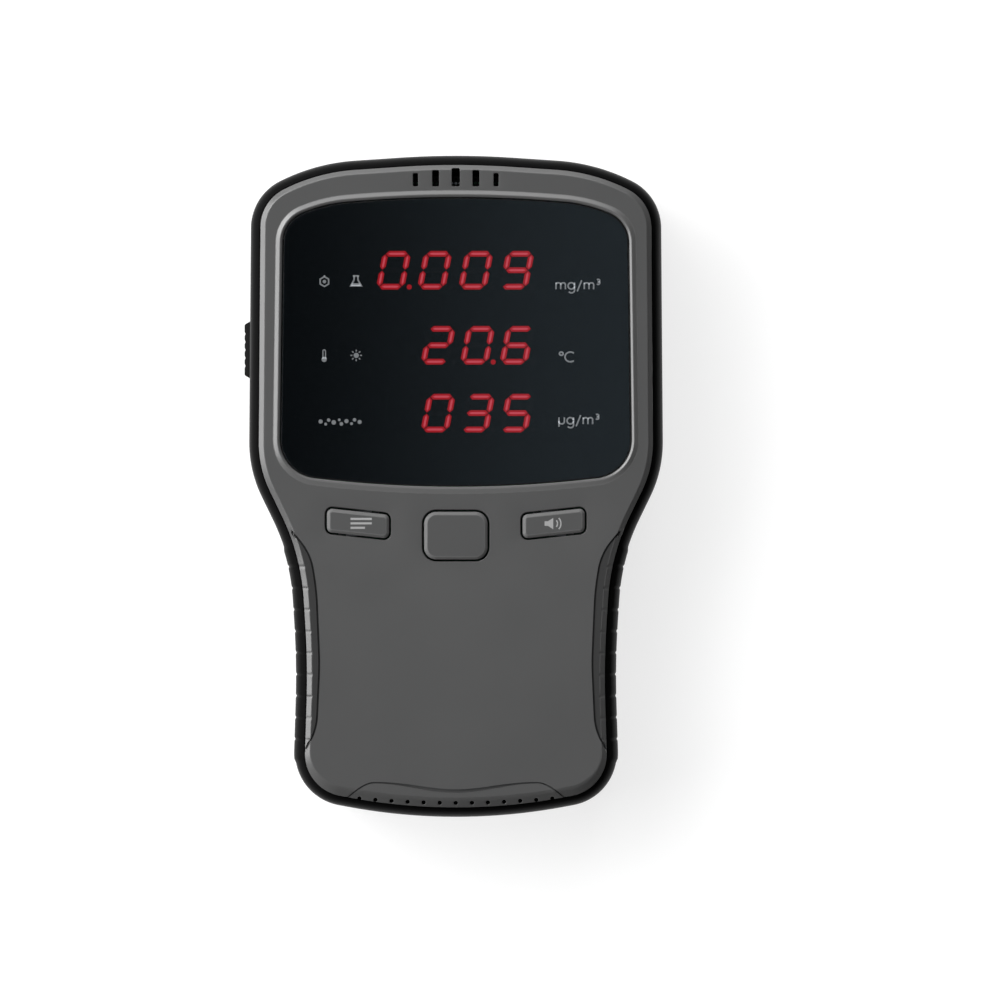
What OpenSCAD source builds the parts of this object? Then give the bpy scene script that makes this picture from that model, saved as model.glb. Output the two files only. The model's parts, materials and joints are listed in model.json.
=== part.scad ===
// Handheld air quality monitor, lying on its back: +Z out of the display, +Y towards the display end.
// The origin is on the flat back, midway along the body. Sizes are in millimetres.

/* [Body] */
// Width across the display end
body_w = 98; // [97:0.5:99]
// Length along Y
body_l = 156.5; // [155:0.5:158]
// Height of the joint between the two black shells
seam_z = 17.5; // [17:0.25:17.75]
// Wall of the black shells
wall = 2.4; // [2.2:0.1:2.5]
// How far the grey panel's edge is inside the body's outline
panel_inset = 2.5; // [2.4:0.1:2.6]

/* [Front] */
// Height of the flat grey face
face_z = 34; // [33.8:0.1:34.2]
// Thickness of the smoked lens
lens_t = 1.5; // [1.2:0.1:1.6]
// Gap round each key
key_gap = 0.3; // [0.2:0.05:0.4]
// How far the keys stand out of the face
key_proud = 0.6; // [0.4:0.1:0.8]

/* [Display] */
// Height of a digit
digit_h = 9.1; // [8.8:0.1:9.4]
// Width of a digit
digit_w = 6.3; // [6:0.1:6.5]
// Width of a lit segment
segment_t = 1.3; // [1.1:0.1:1.4]
// Lean of the digits, in degrees
digit_lean = 10; // [8:1:12]

/* [Power slider] */
// Length of the sliding cap
slider_l = 14.6; // [13.6:0.2:15]
// How far the cap stands out of the side
slider_proud = 1.4; // [1:0.1:1.6]
// Travel from on to off
slider_travel = 3; // [2.5:0.25:3]

/* [Grips] */
// Ribs on each grip
rib_count = 9; // [5:1:9]
// Distance between ribs
rib_pitch = 5.1; // [4.9:0.05:5.15]

/* [Fasteners] */
// Radius of a case screw's shank
case_screw_r = 1.48; // [1.3:0.02:1.48]
// Radius of a board screw's shank
board_screw_r = 0.93; // [0.8:0.01:0.93]

/* [Hidden] */
$fn = 48;

sx = body_w / 98;
sy = body_l / 156.5;
arc_error = 0.06;   // largest gap between an arc and its chords
tiny = 0.01;

// Right half of each outline, from the middle of the top to the middle of the bottom: x, y, corner radius
body_v = [
    [0, 78.5 * sy, 200], [33 * sx, 76.3 * sy, 46], [48.5 * sx, 68.7 * sy, 12.5], [49 * sx, 3.6 * sy, 29],
    [39 * sx, -17 * sy, 50], [37.4 * sx, -42 * sy, 200], [38.4 * sx, -73.6 * sy, 12.5], [0, -80.8 * sy, 139]
];
lens_v = [
    [0, 68.9 * sy, 300], [30.6 * sx, 66.4 * sy, 35], [40.7 * sx, 62.4 * sy, 7.5],
    [41.5 * sx, 2.7 * sy, 9.2], [0, -2.1 * sy, 280]
];

// Heights
plate_z = 30;                     // underside of the front shell's plate
ledge_z = 30.5;                   // where the panel's skirt stands on the front shell
panel_z = 32;                     // underside of the grey panel's plate
lens_z = face_z - 0.2 - lens_t;   // underside of the lens
rim_z = face_z + 0.5;             // top of the bead round the lens
board_t = 1.6;
board_z = 24.3;                   // component side of the main board
board_under = board_z - board_t;
lip_h = 1.2;                      // tongue of the back shell inside the front shell
panel_in = panel_inset + 1.65;    // inner side of the panel's skirt

// Places
key_y = -8.93 * sy;
side_key_x = 23.05 * sx;
centre_key_y = -11.8 * sy;
case_screw_at = [for (s = [-1, 1], p = [[41.8, 60], [41.8, 6], [31, -64.5]]) [s * p[0] * sx, p[1] * sy]];
board_screw_at = [for (s = [-1, 1], p = [[34, 50], [24, -45]]) [s * p[0], p[1]]];
row_y = [50.8, 33.1, 17.1];
row_digits = [4, 3, 3];
row_pitch = [9.7, 9.3, 9.3];
row_right = 14.1;                 // middle of the last digit of each row
vent_x = 4.75;
vents = [[1.9, 4.3], [1.6, 3.8], [1.2, 3.1]];   // width and length, from the middle slot outwards
vent_y = 70.5;
sound_holes = 13;
sound_pitch = 3.79;
slider_y = 32.2 * sy;
slider_z = 20.6;
side_x = 48.8 * sx;               // the flank at the slider
rib_y = -19.1 * sy;
dust_at = [0, 35.5];              // middle of the dust sensor
dust_size = [48, 37];
fan_at = [11, 36];
usb_z = board_under - 1.62;
usb_y = -77.2 * sy;

// ---- Outlines ------------------------------------------------------------------------------------

function unit(v) = v / norm(v);
function flip(p) = [-p[0], p[1]];
function xy(p) = [p[0], p[1]];

// Points of the arc that rounds corner b between a and c, moved inwards by d, from share t0 to t1 of it.
// The outline runs clockwise, so a right turn is convex.
function corner(a, b, c, r, d = 0, t0 = 0, t1 = 1) =
    let (u = unit(a - b), w = unit(c - b), half = acos(u * w) / 2,
         centre = b + unit(u + w) * r / sin(half),
         convex = cross(b - a, c - b) < 0 ? 1 : -1,
         start = b + u * r / tan(half) - centre,
         sweep = -convex * (180 - 2 * half),
         from = atan2(start[1], start[0]),
         n = max(1, ceil(abs(sweep) * (t1 - t0) / (2 * acos(1 - arc_error / max(r, 0.5))))))
    [for (i = [0:n]) let (angle = from + sweep * (t0 + (t1 - t0) * i / n))
        centre + (r - convex * d) * [cos(angle), sin(angle)]];

// Right half of an outline, moved inwards by d
function half_outline(v, d = 0) =
    let (last = len(v) - 1)
    [for (k = [0:last]) each corner(
        k == 0 ? flip(v[1]) : xy(v[k - 1]), xy(v[k]), k == last ? flip(v[last - 1]) : xy(v[k + 1]),
        v[k][2], d, k == 0 ? 0.5 : 0, k == last ? 0.5 : 1)];

// Whole outline from its right half
function both(half) = concat(half, [for (i = [len(half) - 2:-1:1]) flip(half[i])]);

module outline(v, d = 0) { polygon(both(half_outline(v, d))); }

// Closed clockwise polygon, rounded at each [x, y, r] and moved inwards by d; r = 0 keeps a corner sharp
function rounded(v, d = 0) =
    let (n = len(v))
    [for (k = [0:n - 1]) each (v[k][2] == 0 ? [xy(v[k])] :
        corner(xy(v[(k + n - 1) % n]), xy(v[k]), xy(v[(k + 1) % n]), v[k][2], d))];

function rectangle(w, h, r, x = 0, y = 0, d = 0) =
    rounded([[x - w / 2, y + h / 2, r], [x + w / 2, y + h / 2, r],
             [x + w / 2, y - h / 2, r], [x - w / 2, y - h / 2, r]], d);

// Faces that close a ring of n points, laddered between its right and left halves
function ladder(n, base, up) =
    let (h = n / 2)
    [for (k = [0:h - 1])
        let (f = k == 0 ? [0, 1, n - 1] : k == h - 1 ? [k, k + 1, n - k] : [k, k + 1, n - k - 1, n - k])
        [for (i = [0:len(f) - 1]) base + f[up ? i : len(f) - 1 - i]]];

// Solid through an outline's copies: profile is a list of [height, inset], from the bottom up
module loft(v, profile) {
    rings = [for (s = profile) [for (p = both(half_outline(v, s[1]))) [p[0], p[1], s[0]]]];
    n = len(rings[0]);
    top = len(profile) - 1;
    walls = [for (j = [0:top - 1], i = [0:n - 1])
        [j * n + i, j * n + (i + 1) % n, (j + 1) * n + (i + 1) % n, (j + 1) * n + i]];
    polyhedron([for (r = rings) each r], concat(walls, ladder(n, 0, false), ladder(n, top * n, true)));
}

// Area along the body's right flank between two insets, from y_high down to y_low
function flank(y_high, y_low, outer, inner) =
    let (from = half_outline(body_v, outer), to = half_outline(body_v, inner),
         edge = [for (p = from) if (p[0] > 30 && p[1] < y_high && p[1] > y_low) p],
         back = [for (i = [len(to) - 1:-1:0])
                     if (to[i][0] > 27 && to[i][1] < y_high && to[i][1] > y_low) to[i]])
    concat([[flank_x(from, y_high), y_high]], edge,
           [[flank_x(from, y_low), y_low], [flank_x(to, y_low), y_low]],
           back, [[flank_x(to, y_high), y_high]]);

// Where the right side of a half outline crosses a height along Y
function flank_x(half, y) =
    [for (i = [0:len(half) - 2]) if (half[i][1] > y && half[i + 1][1] <= y)
        half[i][0] + (half[i + 1][0] - half[i][0]) * (half[i][1] - y) / (half[i][1] - half[i + 1][1])][0];

// Prism from a ring between two insets of an outline
module ring_prism(v, outer_d, inner_d, z0, z1) {
    difference() {
        translate([0, 0, z0]) linear_extrude(z1 - z0) outline(v, outer_d);
        translate([0, 0, z0 - 1]) linear_extrude(z1 - z0 + 2) outline(v, inner_d);
    }
}

module prism(v, d, z0, z1) { translate([0, 0, z0]) linear_extrude(z1 - z0) outline(v, d); }

module plate(points, z0, z1) { translate([0, 0, z0]) linear_extrude(z1 - z0) polygon(points); }

module block(x0, x1, y0, y1, z0, z1) { translate([x0, y0, z0]) cube([x1 - x0, y1 - y0, z1 - z0]); }

module rod(at, r, z0, z1) { translate([at[0], at[1], z0]) cylinder(r = r, h = z1 - z0); }

// Open path with each inner point rounded: points are [y, z, r]
function rounded_path(v) =
    [for (k = [0:len(v) - 1]) each (k == 0 || k == len(v) - 1 ? [xy(v[k])] :
        corner(xy(v[k - 1]), xy(v[k]), xy(v[k + 1]), v[k][2]))];

// Wire of radius r along a path in the plane at x
module wire(x, path, r, sides = 8) {
    p = rounded_path(path);
    n = len(p);
    points = [for (i = [0:n - 1])
        let (t = unit(p[min(i + 1, n - 1)] - p[max(i - 1, 0)]), across = [-t[1], t[0]])
        for (k = [0:sides - 1]) let (a = 360 * k / sides)
            [x + r * cos(a), p[i][0] + r * sin(a) * across[0], p[i][1] + r * sin(a) * across[1]]];
    walls = [for (i = [0:n - 2], k = [0:sides - 1])
        [i * sides + k, i * sides + (k + 1) % sides, (i + 1) * sides + (k + 1) % sides, (i + 1) * sides + k]];
    ends = [[for (k = [sides - 1:-1:0]) k], [for (k = [0:sides - 1]) (n - 1) * sides + k]];
    polyhedron(points, concat(walls, ends));
}

// ---- Shells --------------------------------------------------------------------------------------

front_profile = [
    [seam_z, 0], [26, 0], [28.6, 0.75], [ledge_z, panel_inset - 0.05], [ledge_z, panel_in + 0.05],
    [panel_z, panel_in + 0.05]
];
back_profile = [[0, 5.6], [0.9, 3], [3.4, 1], [8, 0], [seam_z, 0]];
panel_profile = [
    [ledge_z, panel_inset], [31.8, panel_inset], [33, panel_inset + 0.6], [face_z, panel_inset + 2.4]
];
grip_high_y = -14.5 * sy;
grip_low_y = -65.5 * sy;
grip_z = [6, 27];
grip_out = 0.35;     // how far the ribs stand out of the flank
grip_depth = 1.25;   // depth of the pocket in the shells

// Keys: outlines of their openings
function side_key(side, d = 0) =
    let (x0 = 15.3, x1 = 30.8, slope = 1.65, top = -4.85, tall = 6.5,
         v = [[x0, top - slope, 1.7], [x1, top, 1.7], [x1, top - tall, 1.7], [x0, top - slope - tall, 1.7]])
    side > 0 ? rounded([for (p = v) [p[0] * sx, p[1] * sy, p[2]]], d)
             : rounded([for (i = [3:-1:0]) [-v[i][0] * sx, v[i][1] * sy, v[i][2]]], d);
function centre_outline(d = 0) = rectangle(15.8, 12.1, 3.3, 0, centre_key_y, d);

module key_holes(z0, z1) {
    plate(side_key(-1), z0, z1);
    plate(side_key(1), z0, z1);
    plate(centre_outline(), z0, z1);
}

// Recess beside each grip on the face, clockwise
module grip_recess(side) {
    v = [[38.6, -10.5, 0], [46, -10.5, 0], [46, -64.5, 0], [36.4, -64.5, 0],
         [32.6, -57.5, 14], [31.9, -42, 60], [32.6, -25, 60], [34, -16, 14]];
    mirror([side < 0 ? 1 : 0, 0, 0])
        plate(rounded([for (p = v) [p[0] * sx, p[1] * sy, p[2]]]), face_z - 0.7, face_z + 2);
}

// Line round the sound holes: a wave in the middle, running down to the bevel at each end
groove_flat = 19;
groove_end = 25.5;
function groove_y(x) = abs(x) < groove_flat ? -71 - cos(180 * x / groove_flat)
    : -70 - 3.5 * (1 - cos(90 * (abs(x) - groove_flat) / (groove_end - groove_flat)));
module groove(w) {
    xs = [for (i = [-17:17]) groove_end * sx * i / 17];
    line = [for (x = xs) [x, groove_y(x / sx) * sy]];
    plate(concat([for (p = line) p + [0, w / 2]], [for (i = [len(line) - 1:-1:0]) line[i] - [0, w / 2]]),
          face_z - 0.5, face_z + 1);
}

module vent_slots(z0, z1) {
    for (i = [-2:2]) let (size = vents[abs(i)])
        block(i * vent_x - size[0] / 2, i * vent_x + size[0] / 2, vent_y * sy, vent_y * sy + size[1], z0, z1);
}

module sound_drill(z0, z1) {
    for (i = [0:sound_holes - 1]) let (x = (i - (sound_holes - 1) / 2) * sound_pitch)
        rod([x, -74.8 * sy + x * x / 490], 0.5, z0, z1);
}

module face_panel() {
    color("#585858") difference() {
        union() {
            loft(body_v, panel_profile);
            prism(lens_v, -1.8, face_z - 1, face_z + 0.25);
            prism(lens_v, -1.4, face_z, rim_z);
        }
        prism(body_v, panel_in, ledge_z - 1, panel_z);
        prism(lens_v, -0.1, panel_z - 1, rim_z + 1);
        key_holes(panel_z - 1, face_z + 1);
        grip_recess(-1);
        grip_recess(1);
        groove(0.55);
        vent_slots(panel_z - 1, face_z + 1);
        sound_drill(ledge_z - 1, face_z + 1);
    }
}

module case_bosses() {
    for (p = case_screw_at) rod(p, 3.3, seam_z, plate_z + tiny);
    for (p = board_screw_at) rod(p, 2.6, board_z, plate_z + tiny);
}

module grip_pockets() {
    for (s = [0, 1]) mirror([s, 0, 0])
        plate(flank(grip_high_y, grip_low_y, -3, grip_depth), grip_z[0], grip_z[1]);
}

module front_shell() {
    color("#1c1c1c") difference() {
        union() {
            difference() {
                loft(body_v, front_profile);
                prism(body_v, wall, seam_z - 1, 26);
                prism(body_v, wall + 2.3, 25, plate_z);
            }
            case_bosses();
        }
        prism(body_v, 1.2, seam_z - 1, seam_z + lip_h + 0.1);
        for (p = case_screw_at) rod(p, 1.5, seam_z - 1, 27.5);
        for (p = board_screw_at) rod(p, 0.95, board_z - 1, plate_z);
        block(-21.5, 21.5, 9, 59, plate_z - 1, panel_z + 1);
        key_holes(plate_z - 1, panel_z + 1);
        block(-12, 12, 69.5 * sy, 73.2 * sy, plate_z - 1, panel_z + 1);
        intersection() {
            prism(body_v, 2.6, plate_z - 1, panel_z + 1);
            block(-24, 24, -78 * sy, -70 * sy, plate_z - 2, panel_z + 2);
        }
        grip_pockets();
        slider_slot();
        usb_cutout();
    }
}

module slider_slot() {
    low = slider_y - slider_travel;
    block(-side_x - 2, -side_x + 0.65, low - slider_l / 2 - 0.3, slider_y + slider_l / 2 + 0.3,
          slider_z - 3.3, slider_z + 3.3);
    block(-side_x - 2, -side_x + 4, low - 1.9, slider_y + 1.9, slider_z - 1.2, slider_z + 1.2);
}

module usb_cutout() {
    translate([0, -74 * sy, usb_z]) rotate([90, 0, 0]) linear_extrude(8) polygon(rectangle(9.4, 3.7, 1.5));
}

module back_shell() {
    color("#1c1c1c") difference() {
        union() {
            difference() {
                loft(body_v, back_profile);
                prism(body_v, 5.6, wall, 9);
                prism(body_v, wall, 8, seam_z + 1);
            }
            ring_prism(body_v, 1.3, wall, seam_z - 1, seam_z + lip_h);
            for (p = case_screw_at) rod(p, 4.4, wall - tiny, seam_z);
        }
        for (p = case_screw_at) {
            rod(p, 3.1, -1, 15);
            rod(p, 1.6, 14, seam_z + 1);
        }
        grip_pockets();
        back_vents();
        plate(rectangle(38, 24, 1.5, 0, -42), -1, 0.3);
    }
}

// Air outlet under the fan and air inlet beside it
module back_vents() {
    for (i = [-3:3]) plate(rectangle(1.6, 16, 0.79, fan_at[0] + i * 2.6, fan_at[1]), -1, wall + 1);
    for (i = [-2:2]) plate(rectangle(1.6, 10, 0.79, -14 + i * 2.6, fan_at[1]), -1, wall + 1);
}

module rating_label() { color("#3a3b3d") plate(rectangle(37.4, 23.4, 1.2, 0, -42), 0.05, 0.25); }

// ---- Lens ----------------------------------------------------------------------------------------

module display_lens() { color("#14161a") prism(lens_v, 0, lens_z, lens_z + lens_t); }

module lens_film() {
    color("#0a0a0a") difference() {
        prism(lens_v, 0.1, lens_z - 0.1, lens_z);
        for (r = [0:2]) let (w = row_digits[r] * row_pitch[r])
            block(row_middle(r) - w / 2, row_middle(r) + w / 2, row_y[r] - 5.6, row_y[r] + 5.6,
                  lens_z - 1, lens_z + 1);
    }
}

module lens_tape() { color("#222222") ring_prism(lens_v, 0.2, 2.2, panel_z, lens_z - 0.1); }

module vent_screen() {
    y = 71.35 * sy;
    color("#2b2b2b") difference() {
        block(-11.8, 11.8, y - 1.6, y + 1.6, panel_z - 0.4, panel_z - 0.05);
        for (i = [-12:12], j = [-1:1]) rod([i * 0.92, y + j * 0.95], 0.32, panel_z - 1, panel_z + 1);
    }
}

// ---- Keys ----------------------------------------------------------------------------------------

flange_z = plate_z - 1.2;

// Hollow cap with a flange that keeps it under the shell's plate: cap and hollow are outlines
module key(cap, hollow, at, flange) {
    color("#585858") difference() {
        union() {
            plate(cap, flange_z, face_z + key_proud);
            plate(rectangle(flange[0], flange[1], 1, at[0], at[1]), flange_z, flange_z + 0.9);
        }
        plate(hollow, flange_z + 1.5, face_z - 1.4);
    }
}

module fn_key() {
    key(side_key(-1, key_gap), side_key(-1, key_gap + 1.2), [-side_key_x, key_y], [17.6, 9.4]);
}
module centre_key() {
    key(centre_outline(key_gap), centre_outline(key_gap + 1.2), [0, centre_key_y], [17.2, 13.4]);
}
module mute_key() {
    key(side_key(1, key_gap), side_key(1, key_gap + 1.2), [side_key_x, key_y], [17.6, 9.4]);
}

switch_h = 3.5;
module plunger(at) { color("#202020") rod(at, 1.7, board_z + 1.2, flange_z - 0.02); }
module fn_plunger() { plunger([-side_key_x, key_y]); }
module centre_plunger() { plunger([0, centre_key_y]); }
module mute_plunger() { plunger([side_key_x, key_y]); }

module tact_switches() {
    color("#9a9a9a") for (p = [[-side_key_x, key_y], [0, centre_key_y], [side_key_x, key_y]]) difference() {
        union() {
            block(p[0] - 3, p[0] + 3, p[1] - 3, p[1] + 3, board_z, board_z + switch_h);
            for (i = [-1, 1], j = [-1, 1])
                block(p[0] + i * 3.9 - 0.95, p[0] + i * 3.9 + 0.95,
                      p[1] + j * 2.25 - 0.35, p[1] + j * 2.25 + 0.35, board_z, board_z + 0.25);
        }
        rod(p, 1.75, board_z + 0.5, board_z + 9);
    }
}

// ---- Power slider --------------------------------------------------------------------------------

module power_slider() {
    x0 = -side_x + 0.55;
    x1 = -side_x - slider_proud;
    h = slider_l / 2;
    ramp = 1.1;
    color("#242424") difference() {
        union() {
            plate([[x0, slider_y - h], [x0 - 0.7, slider_y - h], [x1, slider_y - h + ramp],
                   [x1, slider_y + h - ramp], [x0 - 0.7, slider_y + h], [x0, slider_y + h]],
                  slider_z - 3, slider_z + 3);
            block(x0 - tiny, x0 + 4.6, slider_y - 1.6, slider_y + 1.6, slider_z - 0.95, slider_z + 0.95);
            block(x0 + 2.25, x0 + 2.95, slider_y - 1.6, slider_y + 1.6, slider_z - 1.5, slider_z + 1.5);
        }
        block(x0 + 3.2, x0 + 5, slider_y - 0.8, slider_y + 0.8, slider_z - 2, slider_z + 2);
        for (i = [-2:2])
            block(x1 - 1, x1 + 0.35, slider_y + i * 1.7 - 0.4, slider_y + i * 1.7 + 0.4,
                  slider_z - 4, slider_z + 4);
    }
}

module power_switch_lever() {
    color("#e8e8e8")
        block(-side_x + 3.8, -side_x + 8.4, slider_y - 0.75, slider_y + 0.75,
              slider_z - 0.75, slider_z + 0.75);
}

module power_switch_body() {
    x0 = -side_x + 6;
    mid = slider_y - slider_travel / 2;
    color("#b4b6b8") difference() {
        block(x0, x0 + 4.4, mid - 4.3, mid + 4.3, slider_z - 2.2, board_under);
        block(x0 - 1, x0 + 3, mid - slider_travel / 2 - 0.9, mid + slider_travel / 2 + 0.9,
              slider_z - 0.9, slider_z + 0.9);
    }
}

// ---- Grips ---------------------------------------------------------------------------------------

module grip() {
    color("#191919") difference() {
        plate(flank(grip_high_y - 0.1, grip_low_y + 0.1, -grip_out, grip_depth - 0.05),
              grip_z[0] + 0.05, grip_z[1] - 0.05);
        for (i = [0:rib_count]) let (y = rib_y - (i - 0.5) * rib_pitch)
            translate([0, 0, grip_z[0] - 1]) linear_extrude(grip_z[1] - grip_z[0] + 2)
                polygon(flank(y + rib_pitch * 0.36, y - rib_pitch * 0.36, -2, 0.25));
    }
}

module right_grip() { grip(); }
module left_grip() { mirror([1, 0, 0]) grip(); }

// ---- Fasteners -----------------------------------------------------------------------------------

module cross_recess(at, z, r, depth) {
    for (a = [0, 90])
        translate([at[0], at[1], z]) rotate([0, 0, a])
            translate([-r, -0.3, -1]) cube([2 * r, 0.6, depth + 1]);
}

module case_screws() {
    color("#8f9296") for (p = case_screw_at) difference() {
        union() {
            rod(p, 2.7, 13.05, 14.98);
            rod(p, case_screw_r, 14.9, 26.5);
        }
        cross_recess(p, 13.05, 1.6, 1.1);
    }
}

module board_screws() {
    color("#8f9296") for (p = board_screw_at) difference() {
        union() {
            rod(p, 1.9, board_under - 1.3, board_under - 0.02);
            rod(p, board_screw_r, board_under - 0.1, board_z + 4.5);
        }
        cross_recess(p, board_under - 1.3, 1.1, 0.7);
    }
}

// ---- Main board ----------------------------------------------------------------------------------

module main_board() {
    color("#1d5c34") difference() {
        prism(body_v, 5.7, board_under, board_z);
        for (p = case_screw_at) rod(p, 4, board_under - 1, board_z + 1);
        for (p = board_screw_at) rod(p, 1.1, board_under - 1, board_z + 1);
    }
}

function row_middle(r) = row_right - (row_digits[r] - 1) * row_pitch[r] / 2;
function digit_x(r, i) = row_right - (row_digits[r] - 1 - i) * row_pitch[r];
display_top = 31.6;

// One bar of a digit, pointed at both ends, lying along X or along Y
function bar(l, t, upright) =
    let (p = [[-l / 2, 0], [-l / 2 + t / 2, t / 2], [l / 2 - t / 2, t / 2],
              [l / 2, 0], [l / 2 - t / 2, -t / 2], [-l / 2 + t / 2, -t / 2]])
    [for (q = p) upright ? [q[1], -q[0]] : q];
function lean(p) = [p[0] + p[1] * tan(digit_lean), p[1]];

// The seven bars of a digit, as [x, y, length, upright]
segment_gap = 0.3;
function bars() =
    let (x = (digit_w - segment_t) / 2, y = (digit_h - segment_t) / 2,
         across = digit_w - segment_t - segment_gap, down = y - segment_gap)
    [[0, y, across, false], [x, y / 2, down, true], [x, -y / 2, down, true], [0, -y, across, false],
     [-x, -y / 2, down, true], [-x, y / 2, down, true], [0, 0, across, false]];

module digit_bars(x, y, z0, z1) {
    for (b = bars()) translate([x, y, z0]) linear_extrude(z1 - z0)
        polygon([for (p = bar(b[2], segment_t, b[3])) lean(p + [b[0], b[1]])]);
    rod([x + digit_w / 2 + 0.35, y - digit_h / 2 + 0.55], 0.6, z0, z1);
}

module display_block(r) {
    w = row_digits[r] * row_pitch[r] + 0.2;
    color("#101010") difference() {
        block(row_middle(r) - w / 2, row_middle(r) + w / 2, row_y[r] - 6.35, row_y[r] + 6.35,
              board_z, display_top);
        for (i = [0:row_digits[r] - 1])
            digit_bars(digit_x(r, i), row_y[r], display_top - 0.6, display_top + 1);
    }
}

module segments(r) {
    color("#c0182a")
        for (i = [0:row_digits[r] - 1])
            digit_bars(digit_x(r, i), row_y[r], display_top - 0.6, display_top);
}

module top_row_display() { display_block(0); }
module middle_row_display() { display_block(1); }
module bottom_row_display() { display_block(2); }
module top_row_segments() { segments(0); }
module middle_row_segments() { segments(1); }
module bottom_row_segments() { segments(2); }

// Chip under the board with a row of legs on two sides
module chip(x, y, w, l, h, legs) {
    z = board_under;
    block(x - w / 2, x + w / 2, y - l / 2, y + l / 2, z - h, z - 0.1);
    for (i = [0:legs - 1], s = [-1, 1]) let (ly = y + (i - (legs - 1) / 2) * (l - 1) / legs)
        block(x + s * w / 2 - (s > 0 ? 0.1 : 0.9), x + s * w / 2 + (s > 0 ? 0.9 : 0.1),
              ly - 0.15, ly + 0.15, z - 0.3, z);
}

module processor_chip() { color("#1a1a1a") chip(-14, 0, 9, 9, 1.5, 12); }
module driver_chip() { color("#1a1a1a") chip(12, 4, 7.5, 17, 2, 14); }
module charger_chip() { color("#1a1a1a") chip(13, -56, 4, 5, 1.5, 4); }
module charger_coil() {
    color("#3c3c3c") union() {
        block(-15.5, -9.5, -59, -53, board_under - 0.6, board_under);
        rod([-12.5, -56], 2.7, board_under - 3, board_under - 0.5);
    }
}
module capacitors() {
    color("#a8abaf") for (p = [[-26, 12], [-26, -2], [5, -57]]) {
        rod(p, 2.5, board_under - 5.6, board_under - 0.4);
        block(p[0] - 2.6, p[0] + 2.6, p[1] - 2.6, p[1] + 2.6, board_under - 0.5, board_under);
    }
}
module climate_sensor() { color("#e6e6e2") block(11, 13.5, 66.5, 69, board_z, board_z + 0.9); }

module gas_sensor_can() {
    color("#c4c6c8") difference() {
        rod([0, 65.3], 6.4, board_z, board_z + 5);
        rod([0, 65.3], 4, board_z + 4, board_z + 9);
    }
}
module gas_sensor_screen() { color("#efefef") rod([0, 65.3], 3.95, board_z + 4.02, board_z + 4.7); }

module buzzer_case() {
    color("#161616") difference() {
        rod([0, -62], 6, board_z, board_z + 5.2);
        rod([0, -62], 5.3, board_z + 0.8, board_z + 4.4);
        rod([0, -62], 1.1, board_z + 4, board_z + 9);
    }
}
module buzzer_disc() { color("#c9a64a") rod([0, -62], 5.25, board_z + 2.2, board_z + 2.5); }

// ---- Charging socket -----------------------------------------------------------------------------

module usb_prism(w, h, r, y0, y1) {
    translate([0, y1, usb_z]) rotate([90, 0, 0]) linear_extrude(y1 - y0) polygon(rectangle(w, h, r));
}

module usb_shell() {
    color("#b9bcc0") difference() {
        usb_prism(8.94, 3.2, 1.25, usb_y, usb_y + 7.4);
        usb_prism(8.34, 2.6, 1, usb_y - 1, usb_y + 7);
    }
}
module usb_tongue() { color("#141414") usb_prism(6.7, 0.7, 0.1, usb_y + 0.8, usb_y + 6.98); }

// ---- Battery -------------------------------------------------------------------------------------

battery_z = wall + 0.5;
module battery_pack() {
    color("#9ea3a8") union() {
        plate(rectangle(48, 38, 4, 0, -43), battery_z, battery_z + 8);
        block(-18, 18, -24.1, -20, battery_z + 2, battery_z + 5);
    }
}
module battery_pad() { color("#2e2e2e") block(-20, 20, -58, -28, wall, battery_z); }
module battery_lead(x) {
    wire(x, [[-20, battery_z + 3.5, 0], [-13, battery_z + 3.5, 3], [-13, 17.4, 0]], 0.75);
}
module battery_lead_red() { color("#b01818") battery_lead(-1.1); }
module battery_lead_black() { color("#151515") battery_lead(1.1); }
module battery_plug() { color("#ece8dc") block(-2.8, 2.8, -15.2, -10.8, 17.4, 19.9); }
module battery_socket() {
    color("#ece8dc") difference() {
        block(-3.9, 3.9, -16.2, -9.8, 18.6, board_under);
        block(-2.9, 2.9, -15.3, -10.7, 17, 20);
    }
}

// ---- Dust sensor ---------------------------------------------------------------------------------

dust_z = wall + 0.3;
dust_top = dust_z + 11.2;
fan_r = 8.6;

module dust_sensor_tray() {
    x = dust_size[0] / 2;
    y = dust_size[1] / 2;
    color("#26384c") for (p = [[-19.5, 26], [-3, 22], [-19.5, 41], [-3, 41]])
        rod(p, 1.4, dust_z + 1, dust_z + 8.4);
    color("#26384c") difference() {
        block(dust_at[0] - x, dust_at[0] + x, dust_at[1] - y, dust_at[1] + y, dust_z, dust_top);
        rod(fan_at, fan_r + 0.6, dust_z + 1.2, dust_top + 1);
        block(-22.5, 0, dust_at[1] - y + 1.5, dust_at[1] + y - 1.5, dust_z + 1.2, dust_top + 1);
        block(-1, 22.5, dust_at[1] + y - 8, dust_at[1] + y - 1.5, dust_z + 1.2, dust_top + 1);
        for (a = [0:45:315]) rod([fan_at[0] + 5.5 * cos(a), fan_at[1] + 5.5 * sin(a)], 1.5,
                                     dust_z - 1, dust_z + 3);
        for (i = [-2:2]) block(-14 + i * 2.6 - 0.7, -14 + i * 2.6 + 0.7, fan_at[1] - 4, fan_at[1] + 4,
                                     dust_z - 1, dust_z + 3);
    }
}
module dust_fan_stator() {
    color("#b08d4a") union() {
        rod(fan_at, 2.6, dust_z + 1.2, dust_z + 3.4);
        rod(fan_at, 0.6, dust_z + 3.3, dust_z + 8.6);
    }
}
module dust_fan_rotor() {
    blades = 9;
    color("#20242a") difference() {
        union() {
            rod(fan_at, 3.8, dust_z + 3.8, dust_z + 8.4);
            for (i = [0:blades - 1])
                translate([fan_at[0], fan_at[1], dust_z + 3.8]) rotate([0, 0, 360 * i / blades])
                    translate([3.2, 0, 0]) rotate([0, 0, -18]) cube([4.6, 0.6, 4.4]);
        }
        rod(fan_at, 0.65, dust_z, dust_z + 12);
    }
}
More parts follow.
